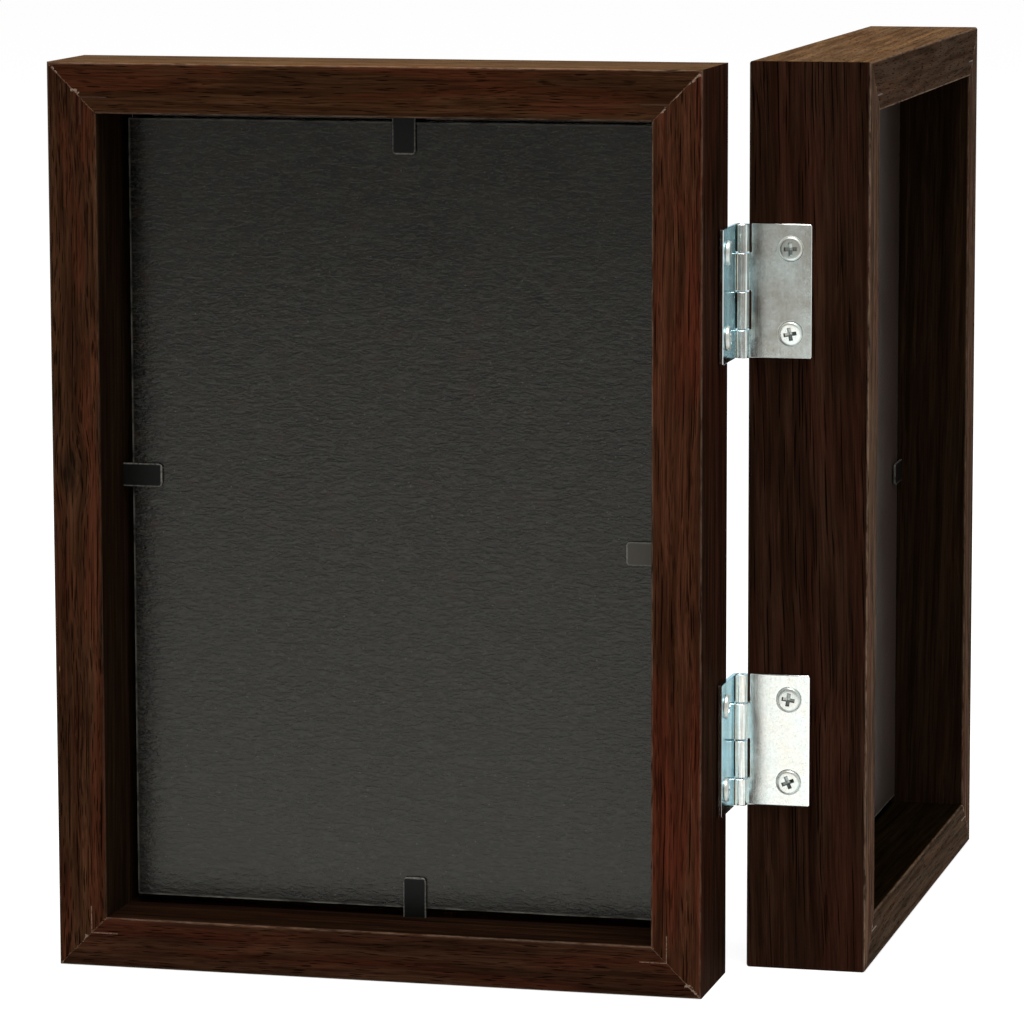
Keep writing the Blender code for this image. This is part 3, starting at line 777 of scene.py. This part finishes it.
def rail_mesh(node, spec, length, depth, seed):
    """One mitred length of moulding, with the attributes that its stain and wear follow."""
    outline = moulding_outline(depth)
    half = length / 2
    shares = [1 - distance / half for distance in end_distances(half)]
    stations = [-share for share in shares] + shares[-2::-1]
    tilt = Matrix.Rotation(math.radians(GRAIN_TILTS[seed % 2]), 3, "Y")
    origin = Vector((37.0 * seed, 11.0 * seed, 23.0 * seed))
    year_rings = RAIL_RINGS if node.endswith("rail") else STILE_RINGS
    bm = bmesh.new()
    rings, grain, ring_place, mitre, wear_and_highlight, quartered, stains_and_light = [], [], [], [], [], [], []
    for station in stations:
        ring = []
        for point, worn_and_lit in outline:
            inset, deep = point
            reach = half - inset - CLOSED_GLUE_LINE
            along = station * reach
            place = spec.origin + spec.along * along + spec.inward * inset + Y * deep
            kind, stain = face_stain_and_light(node, inset, deep, depth)
            if abs(station) == 1 and kind == "back":
                back = math.copysign(chip(place, seed), along)
                along -= back
                place -= spec.along * back
            ring.append(bm.verts.new(place))
            wood = tilt @ (Vector((along, inset, deep)) / MM) + origin
            grain.append(wood)
            ring_place.append(sum(part / width for part, width in zip(wood, year_rings)))
            stains_and_light.append(stain)
            quartered.append(quarter_share(node, kind))
            from_mitre = (reach - abs(along)) / math.sqrt(2) / MM
            mitre.append(from_mitre if kind == "back" else from_mitre + CLEAN_SEAM)
            wear_and_highlight.append(arris_wear_and_highlight(node, inset, deep, depth, worn_and_lit))
        rings.append(ring)
    join_rings(bm, rings)
    attributes = (
        ("grain", "FLOAT_VECTOR", grain),
        ("ring", "FLOAT", ring_place),
        ("mitre", "FLOAT", mitre),
        ("wear_and_highlight", "FLOAT", wear_and_highlight),
        ("quartered", "FLOAT", quartered),
        # Tone holds painted light on the top faces and painted shade on the side and recess faces
        ("tone", "FLOAT_VECTOR", [stain.tone for stain in stains_and_light]),
        ("lustre", "FLOAT", [stain.lustre for stain in stains_and_light]),
        ("warm", "FLOAT", [stain.warm for stain in stains_and_light]),
    )
    return mesh_from(f"{node}_moulding", bm, attributes)


def make_rails(side, material):
    """Four mitred lengths of moulding round one frame."""
    high = local_box(side, f"{side}_top_rail")[1]
    specs = rail_specs(high.x + GLUE_LINE, high.z)
    for seed, (rail, (spec, length)) in enumerate(specs.items(), start=1 if side == "left" else 6):
        node = f"{side}_{rail}"
        mesh = rail_mesh(node, spec, length, high.y, seed)
        place_mesh(mesh, frame_space(side))
        add_piece(mesh.name, mesh, f"{side}_frame", material, [node])


# Sheets in the recess

SheetSpec = namedtuple("SheetSpec", "slot roundness rim fray")
SHEETS = {
    "backing_board": SheetSpec("backing_fibreboard", 0.12 * MM, 0.3 * MM, 0.08 * MM),
    "blank_print": SheetSpec("blank_paper", 0.05 * MM, 0.1 * MM, 0.0),
    "glass": SheetSpec("clear_glass", 0.15 * MM, 0.2 * MM, 0.0),
}
SHEET_CELLS = 12
FRAY_SIZE = 3.0 * MM
FRAY_BIAS = 0.6
# Strength of the pale cut edge, with its painted highlight, on the foot and on the other edges
FOOT_RIM = 1.0
OTHER_RIM = 0.45
# Dust only on the right board; its warm colour also stands for a painted reflection
DUST_AND_SHEEN = {"left": 0.0, "right": 1.0}


def edge_steps(low, high, spec):
    """Grid lines across a sheet: close together in the rounded edge, then even."""
    near = [0.0, 0.3 * spec.roundness, spec.roundness, spec.roundness + spec.rim]
    start, end = low + near[-1], high - near[-1]
    middle = [start + (end - start) * step / SHEET_CELLS for step in range(1, SHEET_CELLS)]
    return [low + value for value in near] + middle + [high - value for value in reversed(near)]


def sheet_mesh(name, low, high, spec, seed, dust):
    """A thin closed sheet with rounded edges; its rim attribute is above 0 where it was cut, and
    carries the pale cut edge with a painted highlight.
    """
    xs = edge_steps(low.x, high.x, spec)
    zs = edge_steps(low.z, high.z, spec)
    centre = (low + high) / 2
    bm = bmesh.new()
    rims = []
    grid = {}
    for y, inward in ((low.y, 1), (high.y, -1)):
        for (column, x), (row, z) in product(enumerate(xs), enumerate(zs)):
            margin = min(x - low.x, high.x - x, z - low.z, high.z - z)
            short = max(0.0, spec.roundness - margin)
            drop = spec.roundness - math.sqrt(max(0.0, spec.roundness ** 2 - short ** 2))
            place = Vector((x, y + inward * drop, z))
            wobble = noise.noise(place / FRAY_SIZE + Vector((seed, seed, 0))) - FRAY_BIAS
            near_edge = max(0.0, 1 - margin / (spec.roundness + spec.rim))
            pull = spec.fray * max(-1.0, wobble) * near_edge
            place.x += math.copysign(pull, x - centre.x)
            place.z += math.copysign(pull, z - centre.z)
            grid[(y, column, row)] = bm.verts.new(place)
            rim = FOOT_RIM if margin == z - low.z else OTHER_RIM
            rims.append(rim if margin < spec.roundness * 1.1 else 0.0)
    last_column, last_row = len(xs) - 1, len(zs) - 1
    for y, column, row in product((low.y, high.y), range(last_column), range(last_row)):
        corners = ((column, row), (column + 1, row), (column + 1, row + 1), (column, row + 1))
        bm.faces.new([grid[(y, *corner)] for corner in corners])
    border = [(column, 0) for column in range(last_column)]
    border += [(last_column, row) for row in range(last_row)]
    border += [(column, last_row) for column in range(last_column, 0, -1)]
    border += [(0, row) for row in range(last_row, 0, -1)]
    for first, second in zip(border, border[1:] + border[:1]):
        corners = ((low.y, first), (low.y, second), (high.y, second), (high.y, first))
        bm.faces.new([grid[(y, *corner)] for y, corner in corners])
    return mesh_from(name, bm, [("rim", "FLOAT", rims), ("dust", "FLOAT", [dust] * len(rims))])


def make_sheets(side, materials):
    """Backing board, blank print and glass of one frame."""
    for seed, (sheet, spec) in enumerate(SHEETS.items(), start=len(side)):
        node = f"{side}_{sheet}"
        low, high = local_box(side, node)
        mesh = sheet_mesh(f"{node}_sheet", low, high, spec, seed, DUST_AND_SHEEN[side])
        place_mesh(mesh, frame_space(side))
        add_piece(f"{node}_sheet", mesh, f"{side}_frame", materials[spec.slot], [node])


# Tabs

# The way that each tab reaches from its wall, and the way that its width runs, in frame space
TAB_AXES = {"top_tab": (-Z, X), "bottom_tab": (Z, X), "hinge_tab": (X, Z), "outer_tab": (-X, Z)}
TAB_TIP_ROUND = 0.85 * MM
TAB_EDGE_ROUND = 0.07 * MM
TAB_RUBBED_MARGIN = 0.26 * MM
RUBBED_TABS = ("left_hinge_tab",)
# Rim values mix rubbed metal with a painted highlight; the right frame's rims are scaled down to
# half as painted shade of its recess
RIM_WEAR_AND_HIGHLIGHT = 0.6
RIM_SHADE_SCALE = {"left": 1.0, "right": 0.5}
TIP_STEPS = 10

# The sections where the strip leaves its slot: their count, and where they start and how far they
# reach, as measured from the mouth of the slot
BEND_SECTIONS = 14
SECTIONS_FROM = -0.7 * MM
SECTIONS_LENGTH = 2.4 * MM


def strip_stations(root, mouth, tip):
    """Distances along a tab at which it has a section: close together where it leaves its slot and
    at the tip.
    """
    steps = range(BEND_SECTIONS + 1)
    at_bend = [mouth + SECTIONS_FROM + SECTIONS_LENGTH * step / BEND_SECTIONS for step in steps]
    turns = [math.pi / 2 * step / TIP_STEPS for step in range(TIP_STEPS)]
    at_tip = [tip - TAB_TIP_ROUND * (1 - math.sin(turn)) for turn in turns]
    return [root] + at_bend + at_tip + [tip - 0.03 * MM, tip]


def strip_outline(side, thick):
    """Section of a strip as (across, up, rubbed) points, with a rubbed margin on both faces."""
    margin = min(TAB_RUBBED_MARGIN, side * 0.8)
    edge = TAB_EDGE_ROUND
    corner = edge * (1 - math.sqrt(0.5))
    lower = [
        (-side, edge - thick, RIM_WEAR_AND_HIGHLIGHT),
        (corner - side, corner - thick, RIM_WEAR_AND_HIGHLIGHT),
        (edge - side, -thick, RIM_WEAR_AND_HIGHLIGHT),
        (margin * 0.8 - side, -thick, RIM_WEAR_AND_HIGHLIGHT),
        (margin - side, -thick, 0.0),
    ]
    lower += [(-across, up, rubbed) for across, up, rubbed in reversed(lower)]
    return lower + [(across, -up, rubbed) for across, up, rubbed in reversed(lower)]


def strip_mesh(name, stations, half_width, depths, rubbed, shade_scale):
    """A flat strip along x, its width on y and its thickness between two depths on z."""
    bm = bmesh.new()
    rings, rims = [], []
    middle = sum(depths) / 2
    half_thick = (depths[1] - depths[0]) / 2
    tip = stations[-1]
    for station in stations:
        past = max(0.0, station - (tip - TAB_TIP_ROUND))
        side = half_width - TAB_TIP_ROUND + math.sqrt(max(0.0, TAB_TIP_ROUND ** 2 - past ** 2))
        thick = half_thick - (TAB_EDGE_ROUND * 0.7 if station == tip else 0.0)
        near_tip = station > tip - TAB_RUBBED_MARGIN
        outline = strip_outline(side, thick)
        rings.append([bm.verts.new((station, across, middle + up)) for across, up, _ in outline])
        # The rim holds rubbed edges and a painted highlight, scaled down by the side's painted shade
        rims += [shade_scale * (1.0 if near_tip else worn_and_lit) for _, _, worn_and_lit in outline]
    join_rings(bm, rings)
    return mesh_from(name, bm, [("rim", "FLOAT", rims), ("rubbed", "FLOAT", [rubbed] * len(rims))])


def span(box, axis):
    """Where a box starts and ends along an axis."""
    return sorted(corner.dot(axis) for corner in box)


def make_tabs(side, material):
    """Four flat strips that lie on the board, each reaching back into its slot in the wall."""
    to_world = frame_space(side)
    for tab, (reach, across) in TAB_AXES.items():
        node = f"{side}_{tab}"
        box = local_box(side, node)
        root, mouth = span(local_box(side, f"{node}_shank"), reach)
        tip = span(box, reach)[1]
        near, far = span(box, across)
        depths = span(box, Y)
        stations = strip_stations(root, mouth, tip)
        rubbed = 1.0 if node in RUBBED_TABS else 0.0
        half_width = (far - near) / 2
        name = f"{node}_strip"
        mesh = strip_mesh(name, stations, half_width, depths, rubbed, RIM_SHADE_SCALE[side])
        turn = Matrix((reach, across, Y)).transposed().to_4x4()
        shift = Matrix.Translation(across * (near + far) / 2)
        place_mesh(mesh, to_world @ shift @ turn)
        piece = add_piece(name, mesh, None, material, [node, f"{node}_shank"])
        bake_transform(piece)


# Nails, hinges and screws

NAIL_BEVEL = 0.12 * MM
NAIL_SINK = 0.1 * MM
STAINED_NAIL = 0.08
BARE_NAIL = 0.9
PIN_BEVEL = 0.08 * MM
LEAF_BEVEL = 0.24 * MM
KNUCKLE_RADIUS = 1.6 * MM


def body_of(node):
    return NODES[node]["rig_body"]


def refined_copy(node, bevel, segments, material):
    """The node's own form with whole flat faces and broken edges, where its edge attribute is 1."""
    bm = bmesh.new()
    bm.from_mesh(NODES[node].data)
    bmesh.ops.remove_doubles(bm, verts=bm.verts, dist=WELD)
    bmesh.ops.dissolve_limit(bm, angle_limit=math.radians(1), verts=bm.verts, edges=bm.edges)
    sharp = [edge for edge in bm.edges if edge.is_manifold and edge.calc_face_angle() > SOFT_ANGLE]
    edge_share = bm.faces.layers.float.new("edge")
    broken = bmesh.ops.bevel(
        bm,
        geom=sharp,
        offset=bevel,
        segments=segments,
        affect="EDGES",
        profile=0.5,
        clamp_overlap=True,
    )
    for face in broken["faces"]:
        face[edge_share] = 1.0
    mesh = mesh_from(f"{node}_form", bm)
    return add_piece(f"{node}_form", mesh, body_of(node), material, [node])


# Screw head above its seat, as (radius, height) from the middle out
SCREW_HEAD = (
    (0.0, 0.65), (0.9, 0.649), (1.5, 0.645), (1.9, 0.632), (2.08, 0.6), (2.2, 0.52), (2.27, 0.38),
    (2.3, 0.2), (2.3, 0.0),
)
SCREW_BODY = ((2.3, -0.06), (1.0, -1.3), (1.0, -6.2), (0.0, -8.0))
SCREW_SIDES = 48
HEAD_TOP = SCREW_HEAD[0][1]
HEAD_FALL = 0.02
HEAD_SHOULDER = 2.0
HEAD_FOOT = -0.1

# The driver's recess, in millimetres: its arms, its depths above the seat, and its pit and taper
RECESS_REACH = 1.4
RECESS_HALF_ARM = 0.42
RECESS_TOP = 1.0
RECESS_FLOOR = -0.1
RECESS_TIP_FLOOR = 0.15
RECESS_TAPER = 0.7
RECESS_MARGIN = 0.02
PIT_FLOOR = -0.35
PIT_SHARE = 0.7
# Depth below the head's top at which painted shade starts in the cross
RECESS_SHADE_DEPTH = 0.12

# How far each screw was driven round, and how far it leans two ways, in degrees
SCREW_TURNS = (10, 3, -17, 31, 22, -8, 40, 12)
SCREW_TILTS = (
    (6.0, 0.8), (-3.5, -0.4), (2.4, 5.0), (-2.2, 6.5),
    (1.0, 0.9), (-1.4, 0.5), (2.0, 4.5), (-1.2, 5.5),
)


def turned_mesh(name, profile, sides):
    """A closed form turned about z from (radius, height) points in millimetres, from top to tip."""
    bm = bmesh.new()
    rings = []
    for radius, height in profile:
        if radius == 0:
            rings.append([bm.verts.new((0, 0, height * MM))] * sides)
            continue
        angles = [math.tau * step / sides for step in range(sides)]
        rings.append([
            bm.verts.new((radius * math.cos(angle) * MM, radius * math.sin(angle) * MM, height * MM))
            for angle in angles
        ])
    for upper, lower in zip(rings, rings[1:]):
        for step in range(sides):
            following = (step + 1) % sides
            corners = (upper[step], lower[step], lower[following], upper[following])
            bm.faces.new(dict.fromkeys(corners))
    return mesh_from(name, bm)


def recess_cutter():
    """A cross that narrows downwards and ends in a pit, for cutting the driver's recess."""
    bm = bmesh.new()
    arm, reach = RECESS_HALF_ARM, RECESS_REACH
    quarter = [Vector((arm, arm)), Vector((arm, reach)), Vector((-arm, reach))]
    turns = [Matrix.Rotation(turn * math.pi / 2, 2) for turn in range(4)]
    outline = [turn @ point for turn in turns for point in quarter]
    floor, top = [], []
    for index, point in enumerate(outline):
        height = RECESS_TIP_FLOOR if index % 3 else RECESS_FLOOR
        share = 1 - (1 - RECESS_TAPER) * (RECESS_TOP - height) / (RECESS_TOP - RECESS_FLOOR)
        floor.append(bm.verts.new((point.x * share * MM, point.y * share * MM, height * MM)))
        top.append(bm.verts.new((point.x * MM, point.y * MM, RECESS_TOP * MM)))
    for index in range(len(outline)):
        following = (index + 1) % len(outline)
        bm.faces.new((floor[index], floor[following], top[following], top[index]))
    mouth = floor[::3]
    pit = [bm.verts.new((v.co.x * PIT_SHARE, v.co.y * PIT_SHARE, PIT_FLOOR * MM)) for v in mouth]
    for turn in range(4):
        following = (turn + 1) % 4
        bm.faces.new((mouth[turn], floor[turn * 3 + 1], floor[turn * 3 + 2], mouth[following]))
        bm.faces.new((mouth[turn], mouth[following], pit[following], pit[turn]))
    bm.faces.new(pit)
    bm.faces.new(top)
    return mesh_from("recess_cutter", bm)


def cut_mesh(mesh, cutter_mesh):
    """The mesh less the cutter."""
    blank = link_object("blank", mesh)
    cutter = link_object("cutter", cutter_mesh)
    cut = blank.modifiers.new("cut", "BOOLEAN")
    cut.object = cutter
    cut.operation = "DIFFERENCE"
    cut.solver = "EXACT"
    evaluated = blank.evaluated_get(bpy.context.evaluated_depsgraph_get())
    result = bpy.data.meshes.new_from_object(evaluated)
    for item in (blank, cutter):
        bpy.data.objects.remove(item)
    return result


def screw_mesh():
    """A cross-recess screw with its seat at the origin and its axis along z.

    Its attribute for painted shade is 1 down in the cross, and burr is 1 on the shoulder and in the
    pit.
    """
    mesh = cut_mesh(turned_mesh("screw", SCREW_HEAD + SCREW_BODY, SCREW_SIDES), recess_cutter())
    bm = bmesh.new()
    bm.from_mesh(mesh)
    bmesh.ops.remove_doubles(bm, verts=bm.verts, dist=WELD)
    recess_shade, burr = [], []
    for vertex in bm.verts:
        x, y, z = (value / MM for value in vertex.co)
        distance = math.hypot(x, y)
        short, long = sorted((abs(x), abs(y)))
        in_pit = distance < RECESS_HALF_ARM and z < RECESS_FLOOR - 0.01
        in_cross = short < RECESS_HALF_ARM + RECESS_MARGIN and long < RECESS_REACH + RECESS_MARGIN
        on_shoulder = distance > HEAD_SHOULDER and z > HEAD_FOOT
        sunk = z < HEAD_TOP - HEAD_FALL * distance ** 2 - RECESS_SHADE_DEPTH
        burr.append(float(on_shoulder or in_pit))
        recess_shade.append(float(in_cross and sunk and not in_pit))
    return mesh_from("screw_form", bm, [("recess_shade", "FLOAT", recess_shade), ("burr", "FLOAT", burr)])


def screw_matrix(leaf, node, turn, tilt):
    """Where a screw's seat is and which way its head faces."""
    low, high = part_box(node)
    middle = (low + high) / 2
    head = HEAD_TOP * MM
    if leaf == "left_leaf":
        seat = Vector((high.x - head, middle.y, middle.z))
        facing = Matrix(((0, 0, 1), (1, 0, 0), (0, 1, 0)))
    else:
        seat = Vector((middle.x, low.y + head, middle.z))
        facing = Matrix(((1, 0, 0), (0, 0, -1), (0, 1, 0)))
    matrix = Matrix.Translation(seat) @ facing.to_4x4()
    for angle, axis in ((tilt[0], "X"), (tilt[1], "Y"), (turn, "Z")):
        matrix = matrix @ Matrix.Rotation(math.radians(angle), 4, axis)
    return matrix


def make_screws(material):
    """Eight screws, each driven to its own angle and a little out of square."""
    form = screw_mesh()
    places = product(HINGES, reversed(LEAVES), ("first", "second"))
    for (hinge, leaf, place), turn, tilt in zip(places, SCREW_TURNS, SCREW_TILTS):
        node = f"{hinge}_{leaf}_{place}_screw"
        mesh = form.copy()
        mesh.transform(screw_matrix(leaf, node, turn, tilt))
        add_piece(f"{node}_form", mesh, body_of(node), material, [node])


def paint(piece, name, values):
    """Gives a piece's faces the values of an attribute."""
    attribute = piece.data.attributes.new(name, "FLOAT", "FACE")
    attribute.data.foreach_set("value", values)


def make_nails(side, material):
    """Nails across the mitres, brought up to the back of the wood; stain hides the upper ones."""
    back = frame_space(side).col[1].xyz
    for corner in CORNERS:
        nail = refined_copy(f"{side}_{corner}_corner_nail", NAIL_BEVEL, 3, material)
        nail.data.transform(Matrix.Translation(back * NAIL_SINK))
        bare = STAINED_NAIL if corner.startswith("top") else BARE_NAIL
        paint(nail, "bare", [bare] * len(nail.data.polygons))


def make_hinges(materials):
    """Pins and leaves, with the leaves' rolled knuckles marked."""
    for hinge in HINGES:
        refined_copy(f"{hinge}_pin", PIN_BEVEL, 2, materials["pin_steel"])
        low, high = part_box(f"{hinge}_pin")
        axis = ((low + high) / 2).xy
        for leaf in LEAVES:
            piece = refined_copy(f"{hinge}_{leaf}", LEAF_BEVEL, 1, materials["zinc_plated_steel"])
            near = [(vertex.co.xy - axis).length < KNUCKLE_RADIUS for vertex in piece.data.vertices]
            rolled = [all(near[index] for index in face.vertices) for face in piece.data.polygons]
            paint(piece, "knuckle", [float(value) for value in rolled])


# Stage

WHITE = (1.0, 1.0, 1.0, 1.0)
FLOOR_GREY = (0.36, 0.36, 0.36, 1.0)
FLOOR_LIFT = 0.8
FLOOR_GAP = 0.1 * MM
DARK_END_GREY = (0.38, 0.38, 0.37, 1.0)
WORLD_LIGHT = 0.5
WORLD_SEEN = 1.0


def make_camera():
    data = bpy.data.cameras.new("camera")
    data.lens = CAMERA_LENS
    data.sensor_width = SENSOR_WIDTH
    data.clip_start = 0.01
    data.clip_end = 50
    camera = link_object("camera", data)
    turn = (
        Matrix.Rotation(CAMERA_YAW, 4, "Z")
        @ Matrix.Rotation(math.pi / 2 + CAMERA_PITCH, 4, "X")
        @ Matrix.Rotation(-CAMERA_ROLL, 4, "Z")
    )
    camera.matrix_world = Matrix.Translation(CAMERA_PLACE) @ turn
    bpy.context.scene.camera = camera


def seen_directly(nodes):
    """1 for rays that show the background itself: from the camera, in gloss and through glass."""
    rays = nodes.node("ShaderNodeLightPath", {})
    seen = nodes.larger(rays.outputs["Is Camera Ray"], rays.outputs["Is Glossy Ray"])
    return nodes.larger(seen, rays.outputs["Is Transmission Ray"])


def add_stage(name, bm, graph):
    """Links a mesh that isn't part of the object."""
    mesh = bpy.data.meshes.new(name)
    bm.to_mesh(mesh)
    bm.free()
    mesh.materials.append(graph.material)
    stage = link_object(name, mesh)
    return stage


def make_floor():
    """A wide pale floor that clears to white and keeps the frame's shadow."""
    bm = bmesh.new()
    bmesh.ops.create_circle(bm, cap_ends=True, radius=30.0, segments=96)
    graph = Graph(
        "floor_paint",
        Roughness=1.0,
        Specular_IOR_Level=0.0,
        Base_Color=FLOOR_GREY,
        Emission_Color=WHITE,
    )
    graph.finish(Emission_Strength=graph.product(seen_directly(graph), FLOOR_LIFT))
    floor = add_stage("floor", bm, graph)
    floor.location.z = CAD_BOX[0][2] - FLOOR_GAP


def make_dark_end():
    """The unlit end of the studio behind the camera, which only gloss shows."""
    bm = bmesh.new()
    radius, height, steps = 0.9, 1.6, 40
    start, sweep = 200, 140
    angles = [math.radians(start + sweep * step / steps) for step in range(steps + 1)]
    rows = [
        [bm.verts.new((radius * math.cos(angle), radius * math.sin(angle), z)) for angle in angles]
        for z in (0.0, height)
    ]
    for step in range(steps):
        bm.faces.new((rows[0][step], rows[0][step + 1], rows[1][step + 1], rows[1][step]))
    graph = Graph(
        "dark_end_cloth",
        Roughness=1.0,
        Specular_IOR_Level=0.0,
        Base_Color=(0.0, 0.0, 0.0, 1.0),
        Emission_Color=DARK_END_GREY,
        Emission_Strength=1.0,
    )
    screen = add_stage("dark_end", bm, graph)
    for rays in ("camera", "diffuse", "shadow", "transmission", "volume_scatter"):
        setattr(screen, f"visible_{rays}", False)


def make_world():
    """Even soft light, and a white background wherever the background itself is seen."""
    world = bpy.data.worlds.new("studio")
    bpy.context.scene.world = world
    world.use_nodes = True
    nodes = Nodes(world.node_tree)
    level = nodes.remap(seen_directly(nodes), 0.0, 1.0, WORLD_LIGHT, WORLD_SEEN)
    background = nodes.tree.nodes["Background"]
    background.inputs["Color"].default_value = WHITE
    nodes.tree.links.new(level, background.inputs["Strength"])


def add_lamp(name, place, target, size, power):
    data = bpy.data.lights.new(name, "AREA")
    data.shape = "DISK"
    data.size = size
    data.energy = power
    lamp = link_object(name, data)
    turn = (Vector(target) - Vector(place)).to_track_quat("-Z", "Y").to_matrix().to_4x4()
    lamp.matrix_world = Matrix.Translation(place) @ turn


def make_stage():
    bpy.context.scene.view_settings.view_transform = "Standard"
    make_camera()
    make_floor()
    make_dark_end()
    make_world()
    add_lamp("overhead", (0.1, -0.25, 1.3), (0.0, 0.0, 0.08), 0.9, 22.0)


materials = make_materials()
for side in SIDES:
    make_rails(side, materials["stained_wood"])
    make_sheets(side, materials)
    make_tabs(side, materials["black_spring_steel"])
for side in SIDES:
    make_nails(side, materials["nail_steel"])
make_hinges(materials)
make_screws(materials["screw_steel"])
make_stage()
